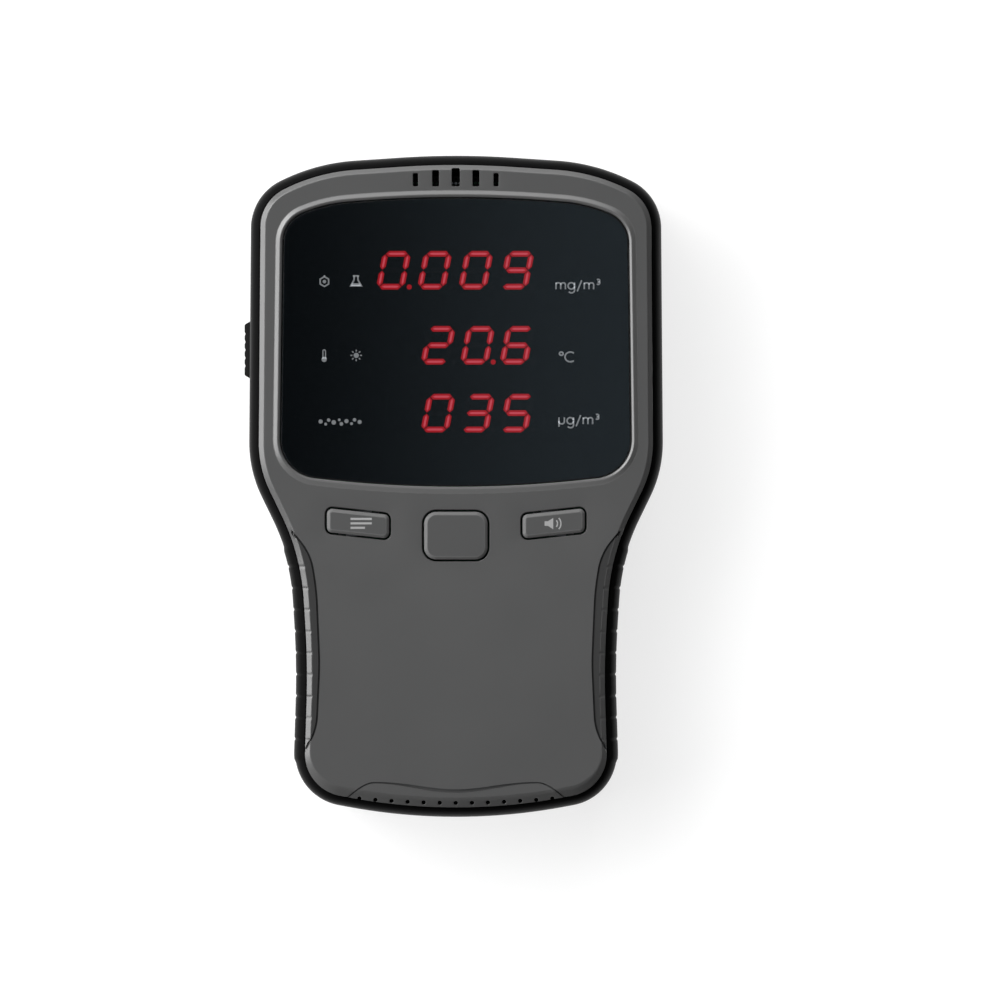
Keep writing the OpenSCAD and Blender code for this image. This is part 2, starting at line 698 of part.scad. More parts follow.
module dust_laser() {
    color("#c9a24a") translate([-20.5, 47.5, dust_z + 4.25]) rotate([0, 90, 0]) cylinder(r = 3, h = 11);
}
module dust_detector() { color("#0e0e0e") block(-7, -3, 45, 49, dust_z + 1.2, dust_z + 4.2); }
module dust_sensor_board() { color("#1d5c34") block(-22, -1, 19.5, 43, dust_z + 8.4, dust_z + 9.6); }
module dust_sensor_lid() {
    x = dust_size[0] / 2;
    y = dust_size[1] / 2;
    color("#b7babd") difference() {
        block(-x, x, dust_at[1] - y, dust_at[1] + y, dust_top, dust_top + 0.6);
        block(-21.5, -9, 18.4, 23.4, dust_top - 1, dust_top + 2);
    }
}

cable_wires = 5;
module dust_sensor_cable() {
    color("#c8ccd0") for (i = [0:cable_wires - 1])
        wire(-17.4 + i * 1.1, [[20.9, dust_top + 2.2, 0], [20.9, dust_top + 3.6, 0.9],
                               [15, dust_top + 3.6, 0.9], [15, 18.9, 0]], 0.45, 6);
}
module cable_plugs() {
    color("#f0ede4") {
        block(-18.8, -11.6, 19, 22.8, dust_z + 9.6, dust_top + 2.2);
        block(-18.8, -11.6, 13.1, 16.9, 18.9, board_under);
    }
}

face_panel();
front_shell();
back_shell();
display_lens();
lens_film();
lens_tape();
vent_screen();
fn_key();
centre_key();
mute_key();
fn_plunger();
centre_plunger();
mute_plunger();
tact_switches();
power_slider();
power_switch_lever();
power_switch_body();
left_grip();
right_grip();
case_screws();
board_screws();
main_board();
top_row_display();
middle_row_display();
bottom_row_display();
top_row_segments();
middle_row_segments();
bottom_row_segments();
processor_chip();
driver_chip();
charger_chip();
charger_coil();
capacitors();
climate_sensor();
gas_sensor_can();
gas_sensor_screen();
buzzer_case();
buzzer_disc();
usb_shell();
usb_tongue();
battery_pack();
battery_pad();
battery_lead_red();
battery_lead_black();
battery_plug();
battery_socket();
dust_sensor_tray();
dust_sensor_lid();
dust_sensor_board();
dust_fan_rotor();
dust_fan_stator();
dust_laser();
dust_detector();
dust_sensor_cable();
cable_plugs();
rating_label();
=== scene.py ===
"""Handheld air quality monitor, lying on its back on a pale table.

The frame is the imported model's: +Z out of the display, +Y towards the display end, origin on the flat
back. Lengths of the object are in millimetres here, and mesh() turns them into metres. The table, the
lights and the camera are in metres.
"""
import json
import math

import bmesh
import bpy
import numpy as np
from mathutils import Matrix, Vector
from mathutils.geometry import delaunay_2d_cdt


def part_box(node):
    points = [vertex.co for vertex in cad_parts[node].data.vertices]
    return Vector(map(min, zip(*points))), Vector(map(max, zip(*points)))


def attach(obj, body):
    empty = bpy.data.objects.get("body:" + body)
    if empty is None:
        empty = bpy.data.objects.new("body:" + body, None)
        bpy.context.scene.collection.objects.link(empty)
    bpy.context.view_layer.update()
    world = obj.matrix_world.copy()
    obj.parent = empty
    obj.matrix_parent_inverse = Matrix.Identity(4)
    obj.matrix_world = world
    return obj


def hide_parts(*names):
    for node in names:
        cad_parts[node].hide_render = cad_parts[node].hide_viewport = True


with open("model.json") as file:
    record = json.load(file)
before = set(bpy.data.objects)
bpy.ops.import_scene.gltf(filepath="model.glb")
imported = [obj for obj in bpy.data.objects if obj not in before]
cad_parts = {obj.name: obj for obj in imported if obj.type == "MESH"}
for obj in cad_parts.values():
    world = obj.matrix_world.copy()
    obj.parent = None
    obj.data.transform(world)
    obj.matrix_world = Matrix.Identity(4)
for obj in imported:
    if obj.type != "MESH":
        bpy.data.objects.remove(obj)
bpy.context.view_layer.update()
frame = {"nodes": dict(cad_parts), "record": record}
scene = bpy.context.scene

# ---- Sizes ---------------------------------------------------------------------------------------


def box_mm(node):
    """Low and high corner of a node of the frame, in millimetres."""
    return [[c * 1000 for c in point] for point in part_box(node)]


LENS_TOP = box_mm("display_lens")[1][2]
FACE = LENS_TOP + 0.2                       # flat grey face
KEY_TOP = box_mm("centre_key")[1][2]
SEAM = box_mm("back_shell")[1][2] - 1.2     # joint between the black shells
LEDGE = box_mm("face_panel")[0][2]          # low edge of the panel
PANEL_IN = 2.5                              # the panel's edge is this far inside the outline
SHELL_WALL = 2.2
SHOULDER = 26.9                             # where the front shell starts to curve inwards
SLIDER_TRAVEL = 3.0

# Right half of each outline from the middle of the top to the middle of the bottom: x, y, corner radius
BODY = [(0, 78.5, 200), (33, 76.3, 46), (48.5, 68.7, 12.5), (49, 3.6, 29),
        (39, -17, 50), (37.4, -42, 200), (38.4, -73.6, 12.5), (0, -80.8, 139)]
LENS = [(0, 68.9, 300), (30.6, 66.4, 35), (40.7, 62.4, 7.5), (41.5, 2.7, 9.2), (0, -2.1, 280)]

# Closed outlines, clockwise: x, y, corner radius
SIDE_KEY = [(15.3, -6.5, 1.7), (30.8, -4.85, 1.7), (30.8, -11.35, 1.7), (15.3, -13, 1.7)]
CENTRE_KEY = [(-7.9, -5.75, 3.3), (7.9, -5.75, 3.3), (7.9, -17.85, 3.3), (-7.9, -17.85, 3.3)]
RECESS = [(38.6, -10.5, 0), (46, -10.5, 0), (46, -64.5, 0), (36.4, -64.5, 0),
          (32.6, -57.5, 14), (31.9, -42, 60), (32.6, -25, 60), (34, -16, 14)]

RIBS = [-19.1 - 5.1 * i for i in range(9)]      # grooves between the ribs of a grip
VENTS = [(1.9, 4.3), (1.6, 3.8), (1.2, 3.1)]    # width and height, from the middle one outwards
SCREWS = [(s * x, y) for s in (-1, 1) for x, y in ((41.8, 60), (41.8, 6), (31, -64.5))]
# Rows of the display: name, middle, distance between digits, digits
ROWS = [("top_row", 50.8, 9.7, "0.009"), ("middle_row", 33.1, 9.3, "20.6"), ("bottom_row", 17.1, 9.3, "035")]

# ---- Outlines ------------------------------------------------------------------------------------


def unit(v):
    return v / np.hypot(*v)


def corner(a, b, c, r, d=0, t0=0, t1=1, err=0.006):
    """Points from t0 to t1 of the arc that rounds corner b, moved inwards by d. Outlines run clockwise."""
    a, b, c = (np.array(p[:2], float) for p in (a, b, c))
    if r == 0:
        return [tuple(b)]
    u, w = unit(a - b), unit(c - b)
    half = math.acos(np.clip(u @ w, -1, 1)) / 2
    centre = b + unit(u + w) * r / math.sin(half)
    convex = 1 if (b - a)[0] * (c - b)[1] - (b - a)[1] * (c - b)[0] < 0 else -1
    start = b + u * r / math.tan(half) - centre
    sweep = -convex * (math.pi - 2 * half)
    first = math.atan2(start[1], start[0])
    n = max(2, math.ceil(abs(sweep) * (t1 - t0) / (2 * math.acos(1 - err / max(r, 0.5)))))
    angles = [first + sweep * (t0 + (t1 - t0) * i / n) for i in range(n + 1)]
    reach = r - convex * d
    return [(centre[0] + reach * math.cos(t), centre[1] + reach * math.sin(t)) for t in angles]


def flip(p):
    return (-p[0], p[1])


def outline(v, d=0, err=0.006):
    """Closed outline from its right half, moved inwards by d, clockwise."""
    half, last = [], len(v) - 1
    for k, p in enumerate(v):
        before = flip(v[1]) if k == 0 else v[k - 1]
        after = flip(v[last - 1]) if k == last else v[k + 1]
        half += corner(before, p, after, p[2], d, 0.5 if k == 0 else 0, 0.5 if k == last else 1, err)
    return half + [flip(p) for p in half[-2:0:-1]]


def polygon(v, d=0, err=0.004):
    """Closed clockwise polygon with rounded corners, moved inwards by d."""
    n = len(v)
    return [q for k in range(n) for q in corner(v[k - 1], v[k], v[(k + 1) % n], v[k][2], d, err=err)]


def mirrored(v):
    return [(-x, y, r) for x, y, r in reversed(v)]


def circle(x, y, r, n=28):
    """Clockwise circle of n points."""
    turns = [-2 * math.pi * k / n for k in range(n)]
    return [(x + r * math.cos(t), y + r * math.sin(t)) for t in turns]


def box_outline(x, y, w, h, r):
    """Rectangle about its middle, for polygon()."""
    signs = ((-1, 1), (1, 1), (1, -1), (-1, -1))
    return [(x + i * w / 2, y + j * h / 2, r) for i, j in signs]


def subdivided(loop, step):
    """The same closed line with no stretch longer than step(x, y)."""
    out = []
    for p, q in zip(loop, loop[1:] + loop[:1]):
        m = max(1, math.ceil(math.dist(p, q) / step((p[0] + q[0]) / 2, (p[1] + q[1]) / 2)))
        out += [(p[0] + (q[0] - p[0]) * i / m, p[1] + (q[1] - p[1]) * i / m) for i in range(m)]
    return out


def evenly(length):
    """Step for subdivided() that is the same everywhere."""
    return lambda x, y: length


def along_ribs(x, y):
    """Step for subdivided() that is short beside the grips."""
    return 0.3 if abs(x) > 26 and -66 < y < -13 else 2.0


def normals(line, closed=False):
    """Unit normals of a line. They point out of a clockwise one."""
    ahead = np.roll(line, -1, axis=0) - np.roll(line, 1, axis=0) if closed else np.gradient(line, axis=0)
    return np.stack([-ahead[:, 1], ahead[:, 0]], 1) / np.hypot(*ahead.T)[:, None]


def distance(x, y, line, closed=True, batch=4000):
    """Distance from points to a line of many short stretches, a batch of points at a time."""
    a = np.array(line, float)
    b = np.roll(a, -1, axis=0) if closed else a[1:]
    a = a if closed else a[:-1]
    ab = b - a
    length = (ab ** 2).sum(1)
    best = np.empty(len(x))
    for i in range(0, len(x), batch):
        p = np.stack([x[i:i + batch], y[i:i + batch]], 1)[:, None]
        t = np.clip(((p - a) * ab).sum(2) / length, 0, 1)
        best[i:i + batch] = np.sqrt(((p - a - t[..., None] * ab) ** 2).sum(2)).min(1)
    return best


def inside(x, y, loop):
    """Whether each point is inside a closed line."""
    a = np.array(loop, float)
    b = np.roll(a, -1, axis=0)
    hit = np.zeros(len(x), bool)
    for (ax, ay), (bx, by) in zip(a, b):
        if ay != by:
            hit ^= ((ay > y) != (by > y)) & (x < (bx - ax) * (y - ay) / (by - ay) + ax)
    return hit


def depth(x, y, loop):
    """Distance inside a closed line, negative outside it."""
    return distance(x, y, loop) * np.where(inside(x, y, loop), 1, -1)


def ramp(x, lo, hi):
    """Smooth step from 0 at lo to 1 at hi."""
    t = np.clip((x - lo) / (hi - lo), 0, 1)
    return t * t * (3 - 2 * t)


# ---- Meshes --------------------------------------------------------------------------------------

END_SIDES = 9      # a face with this many sides or more is the flat end of a piece


def soften(me, sharp=32):
    """Smooth shading, with flat ends and with creases kept."""
    me.shade_smooth()
    me.set_sharp_from_angle(angle=math.radians(sharp))
    for face in me.polygons:
        face.use_smooth = face.loop_total < END_SIDES


def mesh(name, verts, faces, mats, body="housing", slot=None, sharp=32, index=None, outwards=False):
    """Object from points in millimetres. index is a material per face, and outwards turns all faces out."""
    me = bpy.data.meshes.new(name)
    me.from_pydata([(x / 1000, y / 1000, z / 1000) for x, y, z in verts], [], faces)
    for m in mats:
        me.materials.append(m)
    if index is not None:
        me.polygons.foreach_set("material_index", index)
    if outwards:
        bm = bmesh.new()
        bm.from_mesh(me)
        bmesh.ops.recalc_face_normals(bm, faces=bm.faces)
        bm.to_mesh(me)
        bm.free()
    soften(me, sharp)
    ob = bpy.data.objects.new(name, me)
    scene.collection.objects.link(ob)
    if body:
        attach(ob, body)
    return ob


def at(loop, z):
    return [(x, y, z) for x, y in loop]


def stack(rings, loop=False):
    """Vertices and faces through rings of equal length. The last ring meets the first, or both are closed."""
    n, count = len(rings[0]), len(rings)
    verts = [p for r in rings for p in r]
    pairs = [(j * n, (j + 1) % count * n) for j in range(count if loop else count - 1)]
    faces = [(a + i, a + (i + 1) % n, b + (i + 1) % n, b + i) for a, b in pairs for i in range(n)]
    if not loop:
        faces += [tuple(range(n)), tuple(range((count - 1) * n, count * n))[::-1]]
    return verts, faces


def plate(loop, z0, z1):
    return stack([at(loop, z0), at(loop, z1)])


def x_prism(x0, x1, loop):
    """Bar along X from a loop of (y, z)."""
    return stack([[(x, y, z) for y, z in loop] for x in (x0, x1)])


def y_prism(y0, y1, loop):
    """Bar along Y from a loop of (x, z)."""
    return stack([[(x, y, z) for x, z in loop] for y in (y0, y1)])


def joined(*shapes):
    """Several (vertices, faces) as one."""
    verts, faces = [], []
    for v, f in shapes:
        faces += [tuple(i + len(verts) for i in face) for face in f]
        verts += v
    return verts, faces


def cut(ob, *cutters):
    """Take closed meshes, which don't meet each other, out of a closed piece."""
    tool = mesh("cutter", *joined(*cutters), [], body=None, outwards=True)
    m = ob.modifiers.new("cut", "BOOLEAN")
    m.operation, m.solver, m.object = "DIFFERENCE", "EXACT", tool
    with bpy.context.temp_override(object=ob, active_object=ob, selected_objects=[ob]):
        bpy.ops.object.modifier_apply(modifier=m.name)
    bpy.data.objects.remove(tool)
    soften(ob.data)


# ---- Materials -----------------------------------------------------------------------------------

DRIFT_SCALE = 55          # of the slow noise that shifts shade and roughness
GRAIN_DEPTH = 0.00005     # metres


def material(name, color, rough, spec=0.5, metal=0.0, grain=0.0, scale=4000.0, shade=0.06, rough_spread=0.05,
             stretch=(1, 1, 1), **sockets):
    """Moulded or metal surface: fine grain in its bump, with a slow drift of shade and of roughness."""
    mat = bpy.data.materials.new(name)
    mat.use_nodes = True
    nt = mat.node_tree
    bsdf = nt.nodes["Principled BSDF"]
    bsdf.inputs["Metallic"].default_value = metal
    bsdf.inputs["Specular IOR Level"].default_value = spec
    for key, value in sockets.items():
        bsdf.inputs[key.replace("_", " ")].default_value = value
    coord = nt.nodes.new("ShaderNodeTexCoord")
    mapping = nt.nodes.new("ShaderNodeMapping")
    mapping.inputs["Scale"].default_value = stretch
    nt.links.new(coord.outputs["Object"], mapping.inputs["Vector"])
    slow = nt.nodes.new("ShaderNodeTexNoise")
    slow.inputs["Scale"].default_value = DRIFT_SCALE
    slow.inputs["Detail"].default_value = 4
    nt.links.new(mapping.outputs["Vector"], slow.inputs["Vector"])
    drift = nt.nodes.new("ShaderNodeMix")
    drift.data_type = "RGBA"
    drift.inputs["A"].default_value = (*[c * (1 - shade) for c in color], 1)
    drift.inputs["B"].default_value = (*[min(1, c * (1 + shade)) for c in color], 1)
    nt.links.new(slow.outputs["Fac"], drift.inputs["Factor"])
    nt.links.new(drift.outputs["Result"], bsdf.inputs["Base Color"])
    spread = nt.nodes.new("ShaderNodeMapRange")
    spread.inputs["To Min"].default_value = max(0.02, rough - rough_spread)
    spread.inputs["To Max"].default_value = rough + rough_spread
    nt.links.new(slow.outputs["Fac"], spread.inputs["Value"])
    nt.links.new(spread.outputs["Result"], bsdf.inputs["Roughness"])
    if grain:
        fine = nt.nodes.new("ShaderNodeTexNoise")
        fine.inputs["Scale"].default_value = scale
        fine.inputs["Detail"].default_value = 3
        nt.links.new(mapping.outputs["Vector"], fine.inputs["Vector"])
        bump = nt.nodes.new("ShaderNodeBump")
        bump.inputs["Strength"].default_value = grain
        bump.inputs["Distance"].default_value = GRAIN_DEPTH
        nt.links.new(fine.outputs["Fac"], bump.inputs["Height"])
        nt.links.new(bump.outputs["Normal"], bsdf.inputs["Normal"])
    return mat


GREY = (0.058, 0.058, 0.058)
grey = material("grey plastic", GREY, 0.34, 0.6, grain=0.2, scale=5200)
# Painted shade: the grip recesses are the face's own grey plastic, coloured darker to stand for the shade on
# their floor
grey_recess_shade = material("grey plastic, painted recess shade", (0.026, 0.026, 0.026), 0.42, 0.5, grain=0.4, scale=4200)
# Painted highlight: the bead round the lens is a lighter grey than the face, standing in for the bright rim
# light
grey_bead_highlight = material("grey plastic, bead, painted highlight", (0.082, 0.082, 0.082), 0.3, 0.6, grain=0.2, scale=5200)
key_grey = material("grey key plastic", GREY, 0.32, 0.6, grain=0.2, scale=5200)
# Painted highlight: the cap's chamfer and rim are a lighter grey than its top, standing in for the light they
# catch
key_chamfer_highlight = material("grey key plastic, painted highlight on chamfer", (0.098, 0.098, 0.098), 0.3, 0.6, grain=0.2, scale=5200)
black = material("black plastic", (0.0035, 0.0035, 0.0036), 0.38, 0.04, grain=0.5, scale=3600)
black_grip = material("black grip", (0.0038, 0.0038, 0.0038), 0.42, 0.045, grain=0.7, scale=3000)
slider_black = material("slider plastic", (0.007, 0.007, 0.007), 0.42, 0.05, grain=0.5, scale=3600)
smoked = material("smoked lens", (0.60, 0.62, 0.64), 0.02, 0.5, shade=0.0, rough_spread=0.0,
                  Transmission_Weight=1.0, IOR=1.49)
film = material("black film", (0.0012, 0.0014, 0.0016), 0.5, 0.04)
# The print glows a little: painted light in place of the lamp light that does not reach it through the lens
print_painted_glow = material("print with painted glow", (0.88, 0.89, 0.9), 0.5, 0.1, Emission_Color=(1, 1, 1, 1),
                      Emission_Strength=0.24)
key_print = material("key print", (0.26, 0.26, 0.26), 0.5, 0.3)
lit = material("lit segment", (0.2, 0.01, 0.02), 0.4, 0.1, Emission_Color=(1.0, 0.008, 0.02, 1),
               Emission_Strength=0.52)
lit_core = material("lit segment core", (0.3, 0.02, 0.03), 0.4, 0.1, Emission_Color=(1.0, 0.11, 0.15, 1),
                    Emission_Strength=0.85)
unlit = material("unlit segment", (0.008, 0.003, 0.003), 0.5, 0.1)
display_black = material("display block", (0.0015, 0.0015, 0.0015), 0.5, 0.05, grain=0.2)
foam = material("black foam", (0.01, 0.01, 0.01), 0.95, 0.2, grain=0.9, scale=1500)
gauze = material("steel gauze", (0.012, 0.012, 0.012), 0.6, 0.3, metal=1, grain=0.4)
dark = material("dark moulding", (0.012, 0.012, 0.012), 0.45, 0.4, grain=0.3)
steel = material("tinned steel", (0.55, 0.55, 0.56), 0.3, metal=1, grain=0.3, stretch=(1, 12, 1))
screw = material("screw steel", (0.3, 0.3, 0.31), 0.32, metal=1, grain=0.3)
white = material("white nylon", (0.72, 0.7, 0.64), 0.45, 0.4, grain=0.2)
board = material("board lacquer", (0.012, 0.1, 0.035), 0.3, 0.5, grain=0.3, scale=900, shade=0.25)
ferrite = material("ferrite", (0.04, 0.04, 0.042), 0.7, 0.3, grain=0.6)
can = material("aluminium can", (0.62, 0.62, 0.63), 0.28, metal=1, grain=0.2)
brass = material("brass", (0.6, 0.4, 0.13), 0.3, metal=1, grain=0.3)
foil = material("battery wrap", (0.38, 0.4, 0.43), 0.35, metal=0.7, grain=0.5, scale=700)
red_wire = material("red wire", (0.42, 0.01, 0.01), 0.4, 0.5)
black_wire = material("black wire", (0.01, 0.01, 0.01), 0.4, 0.5)
grey_wire = material("grey ribbon", (0.4, 0.42, 0.44), 0.4, 0.5)
blue = material("blue moulding", (0.02, 0.04, 0.08), 0.5, 0.4, grain=0.4)
label = material("blank label", (0.045, 0.045, 0.047), 0.36, 0.5, grain=0.12, scale=900)
table = material("light table", (0.3, 0.3, 0.3), 0.8, 0.05, shade=0.004, Emission_Color=(1, 1, 1, 1),
                 Emission_Strength=0.76)

SLOT_LOOK = {
    "grey_plastic": key_grey, "black_plastic": black, "grip_plastic": black_grip,
    "slider_plastic": slider_black, "smoked_lens": smoked, "black_film": film, "black_foam": foam,
    "steel_mesh": gauze, "dark_plastic": dark, "steel_part": steel, "white_plastic": white,
    "screw_steel": screw, "green_board": board, "display_black": display_black, "red_segments": unlit,
    "ferrite": ferrite, "aluminium_can": can, "brass_disc": brass, "battery_foil": foil,
    "red_wire": red_wire, "black_wire": black_wire, "grey_wire": grey_wire, "blue_plastic": blue,
    "blank_label": label,
}
slot_of = {s["node"]: s["material_slot"] for s in frame["record"]["subparts"]}
for node, ob in frame["nodes"].items():
    ob.data.materials.clear()
    ob.data.materials.append(SLOT_LOOK[slot_of[node]])

# ---- Grey front panel ----------------------------------------------------------------------------

FINE = 0.0008                        # error of the outlines that heights are measured from
fine_body = outline(BODY, 0, FINE)
fine_lens = outline(LENS, 0, FINE)
recesses = [subdivided(polygon(v), evenly(1.0)) for v in (mirrored(RECESS), RECESS)]
WALL, SLOT = 0.03, 0.42              # steepness of a slot's wall; width of the slot round a grip recess

GROOVE_FLAT, GROOVE_END = 19, 25.5   # half the length of the groove's wave, and of the whole groove
GROOVE_TOP, GROOVE_DIP, GROOVE_FALL = -70, 1, 3.5
RECESS_DEPTH, SLOT_DEPTH = 0.2, 0.6  # depth of a grip recess, and how much deeper the slot round it is
GROOVE_DEPTH, RIB_DEPTH = 0.7, 0.2
SOUND_HOLE_R, SOUND_HOLE_PITCH = 0.5, 3.79
HOLE_REACH = 14                      # no opening reaches this far from its middle

BEVEL_FROM, BEVEL_WIDTH = 2.45, 1.4  # depth in the body at which the bevel starts, and its width
BEVEL_REACH = 4                      # about how deep in the body it ends
LOW_BREADTH, LOW_DROP = 0.75, 0.4    # how much broader and deeper it is at the low end
LOW_FROM, LOW_TO = 62, 73            # the low end, below the origin
BEAD_WIDTH = 1.8


def groove_y(x):
    """Groove above the sound holes: a wave with a low middle, and a quarter wave down to each end."""
    x = np.abs(x)
    wave = GROOVE_TOP - GROOVE_DIP * (1 + np.cos(np.pi * x / GROOVE_FLAT))
    quarter = np.pi / 2 * (x - GROOVE_FLAT) / (GROOVE_END - GROOVE_FLAT)
    return np.where(x < GROOVE_FLAT, wave, GROOVE_TOP - GROOVE_FALL * (1 - np.cos(quarter)))


def groove_half(x):
    """Half the width of the groove, which is broadest in the middle."""
    return 0.14 + 0.24 * (1 - ramp(np.abs(x), 5, 19))


groove_x = np.linspace(-GROOVE_END, GROOVE_END, 91)
groove = np.stack([groove_x, groove_y(groove_x)], 1)


def summed(slope, place):
    """Heights that these slopes add up to, with 0 at the last place."""
    return (slope[::-1].cumsum() * (place[1] - place[0]))[::-1]


# The bevel by depth in the body, and the bead by distance from the lens
bevel_d = np.linspace(2.2, 6, 900)
bevel_drop = summed(0.8 * (1 - ramp(bevel_d, 3.35, 3.8)), bevel_d)
bead_e = np.linspace(0, 3, 900)
bead_slope = 0.45 * ramp(bead_e, 0.65, 0.85) * (1 - ramp(bead_e, 1.5, BEAD_WIDTH))
bead_slope -= 0.6 * (1 - ramp(bead_e, 0.5, 0.65))
bead_slope -= 1.5 * (1 - ramp(bead_e, 0.08, 0.2))
bead_rise = summed(bead_slope, bead_e)


def rounded_hole(v, edge):
    """Opening in the panel: its outline by inset, and the width of its rounded edge."""
    return lambda d: polygon(v, d), edge


def round_hole(x, y, r, edge):
    return lambda d: circle(x, y, r - d), edge


holes = [rounded_hole(v, 0.28) for v in (SIDE_KEY, mirrored(SIDE_KEY), CENTRE_KEY)]
for i in range(-2, 3):
    w, h = VENTS[abs(i)]
    holes.append(rounded_hole(box_outline(i * 4.75, 70.5 + h / 2, w, h, 0.3), 0.14))
for i in range(-6, 7):
    x = i * SOUND_HOLE_PITCH
    holes.append(round_hole(x, -74.8 + x * x / 490, SOUND_HOLE_R, 0.12))


def low_end(y):
    """From 0 along the panel to 1 at its low end."""
    return ramp(-y, LOW_FROM, LOW_TO)


def bevel_place(d, y):
    """Place across the bevel of points at depth d in the body. The bevel is broader at the low end."""
    return BEVEL_FROM + (d - BEVEL_FROM) / (1 + LOW_BREADTH * low_end(y))


def bevel_end():
    """Closed line where the bevel runs out into the flat face, clockwise."""
    loop = np.array(subdivided(outline(BODY), along_ribs))
    inwards = -normals(loop, closed=True)
    width = BEVEL_WIDTH * (1 + LOW_BREADTH * low_end(loop[:, 1] + BEVEL_REACH * inwards[:, 1]))
    return (loop + inwards * (BEVEL_FROM + width)[:, None]).tolist()


def panel_z(x, y):
    """Height of the panel: bevel, bead, openings, grip recesses, groove and ribs."""
    z = np.full(len(x), FACE)
    d = depth(x, y, fine_body)
    z -= np.interp(bevel_place(d, y), bevel_d, bevel_drop) * (1 + LOW_DROP * low_end(y))
    e = -depth(x, y, fine_lens)
    z += np.interp(e, bead_e, bead_rise) * (1 - 0.72 * ramp(-y, -7, 0.5)) * (e >= 0)
    for shape, edge in holes:
        loop = shape(0)
        cx, cy = np.mean(loop, axis=0)
        near = np.hypot(x - cx, y - cy) < HOLE_REACH
        if near.any():
            k = np.clip(-depth(x[near], y[near], loop), 0, edge)
            z[near] -= edge - np.sqrt(np.maximum(0, edge * edge - (edge - k) ** 2))
    for recess in recesses:
        g = depth(x, y, recess)
        z -= ramp(g, 0, WALL) * (RECESS_DEPTH + SLOT_DEPTH * (1 - ramp(g, SLOT, SLOT + WALL)))
    q = distance(x, y, groove, closed=False) - groove_half(x)
    z -= GROOVE_DEPTH * (1 - ramp(q, 0, WALL))
    for r in RIBS:
        z -= RIB_DEPTH * np.exp(-((y - r) / 0.2) ** 2) * (1 - ramp(d, 3.6, 3.9))
    return z


def flat_mesh(edge, cuts, lines, height, floor):
    """Surface over the area inside edge and outside cuts, with walls down to floor."""
    points, edges = [], []
    for line, closed in [(edge, True)] + [(c, True) for c in cuts] + lines:
        base, n = len(points), len(line)
        points.extend(Vector((float(x), float(y))) for x, y in line)
        edges.extend((base + i, base + (i + 1) % n) for i in range(n if closed else n - 1))
    verts, _, tris, *_ = delaunay_2d_cdt(points, edges, [], 0, 1e-4)
    xy = np.array([(v.x, v.y) for v in verts])
    tris = np.array(tris)
    mid_x, mid_y = xy[tris].mean(1).T
    keep = inside(mid_x, mid_y, edge)
    for c in cuts:
        keep &= ~inside(mid_x, mid_y, c)
    tris = tris[keep]
    a, b, c = (xy[tris[:, k]] for k in range(3))
    turn = (b - a)[:, 0] * (c - a)[:, 1] - (b - a)[:, 1] * (c - a)[:, 0]
    solid = np.abs(turn) > 1e-7
    tris, turn = tris[solid], turn[solid]
    tris[turn < 0] = tris[turn < 0][:, ::-1]
    used, tris = np.unique(tris, return_inverse=True)
    xy = xy[used]
    z = height(xy[:, 0], xy[:, 1])
    verts = [(x, y, h) for (x, y), h in zip(xy.tolist(), z.tolist())]
    faces = [tuple(t) for t in tris.reshape(-1, 3).tolist()]
    sides = [s for t in faces for s in zip(t, t[1:] + t[:1])]
    known = set(sides)
    low = {}
    for i, j in sides:
        if (j, i) not in known:
            for k in (i, j):
                if k not in low:
                    low[k] = len(verts)
                    verts.append((*verts[k][:2], floor(*verts[k][:2])))
            faces.append((i, low[i], low[j], j))
    return verts, faces


panel_edge = subdivided(outline(BODY, PANEL_IN), along_ribs)
flat_edge = bevel_end()
rim = {(round(x, 3), round(y, 3)) for x, y in panel_edge}


def panel_floor(x, y):
    """How far down the panel's walls go: to its low edge at the rim, and less round an opening."""
    return LEDGE if (round(x, 3), round(y, 3)) in rim else FACE - 2.2


def panel_lines():
    """Lines that the panel's mesh follows, each with whether it is closed."""
    lines = [(subdivided(outline(BODY, PANEL_IN + s), along_ribs), True)
             for s in (0.1, 0.4, 0.7, 0.85, 0.95, 1.05, 1.15, 1.25, 1.6)]
    for s in (2.8, 3.2, 3.6):
        loop = subdivided(outline(BODY, PANEL_IN + s), evenly(1.0))
        lines.append(([p for p in loop if p[1] < -LOW_FROM], False))
    lines.append((flat_edge, True))
    lines += [(subdivided(outline(LENS, -e), evenly(3.0)), True)
              for e in (0.12, 0.16, 0.2, 0.35, 0.5, 0.55, 0.6, 0.65, 0.7, 0.75, 0.8, 0.85,
                        1.2, 1.5, 1.6, 1.7, 1.8, 2.0)]
    for shape, edge in holes:
        lines += [(shape(-edge * s), True) for s in (0.12, 0.3, 0.55, 0.8, 1.0)]
    for v in (RECESS, mirrored(RECESS)):
        lines += [(subdivided(polygon(v, g), evenly(0.8)), True)
                  for g in (-0.1, 0, WALL, SLOT, SLOT + WALL, 0.8, 1.2)]
    for side in (-1, 1):
        for k in (0, WALL, 0.12):
            away = side * (groove_half(groove_x) + k)
            lines.append(((groove + normals(groove) * away[:, None]).tolist(), False))
    return lines


def some_of(verts, faces, chosen):
    """The chosen faces, with only the vertices that they need."""
    own = [f for f, c in zip(faces, chosen) if c]
    order = {old: new for new, old in enumerate(sorted({i for f in own for i in f}))}
    return [verts[i] for i in order], [tuple(order[i] for i in f) for f in own]


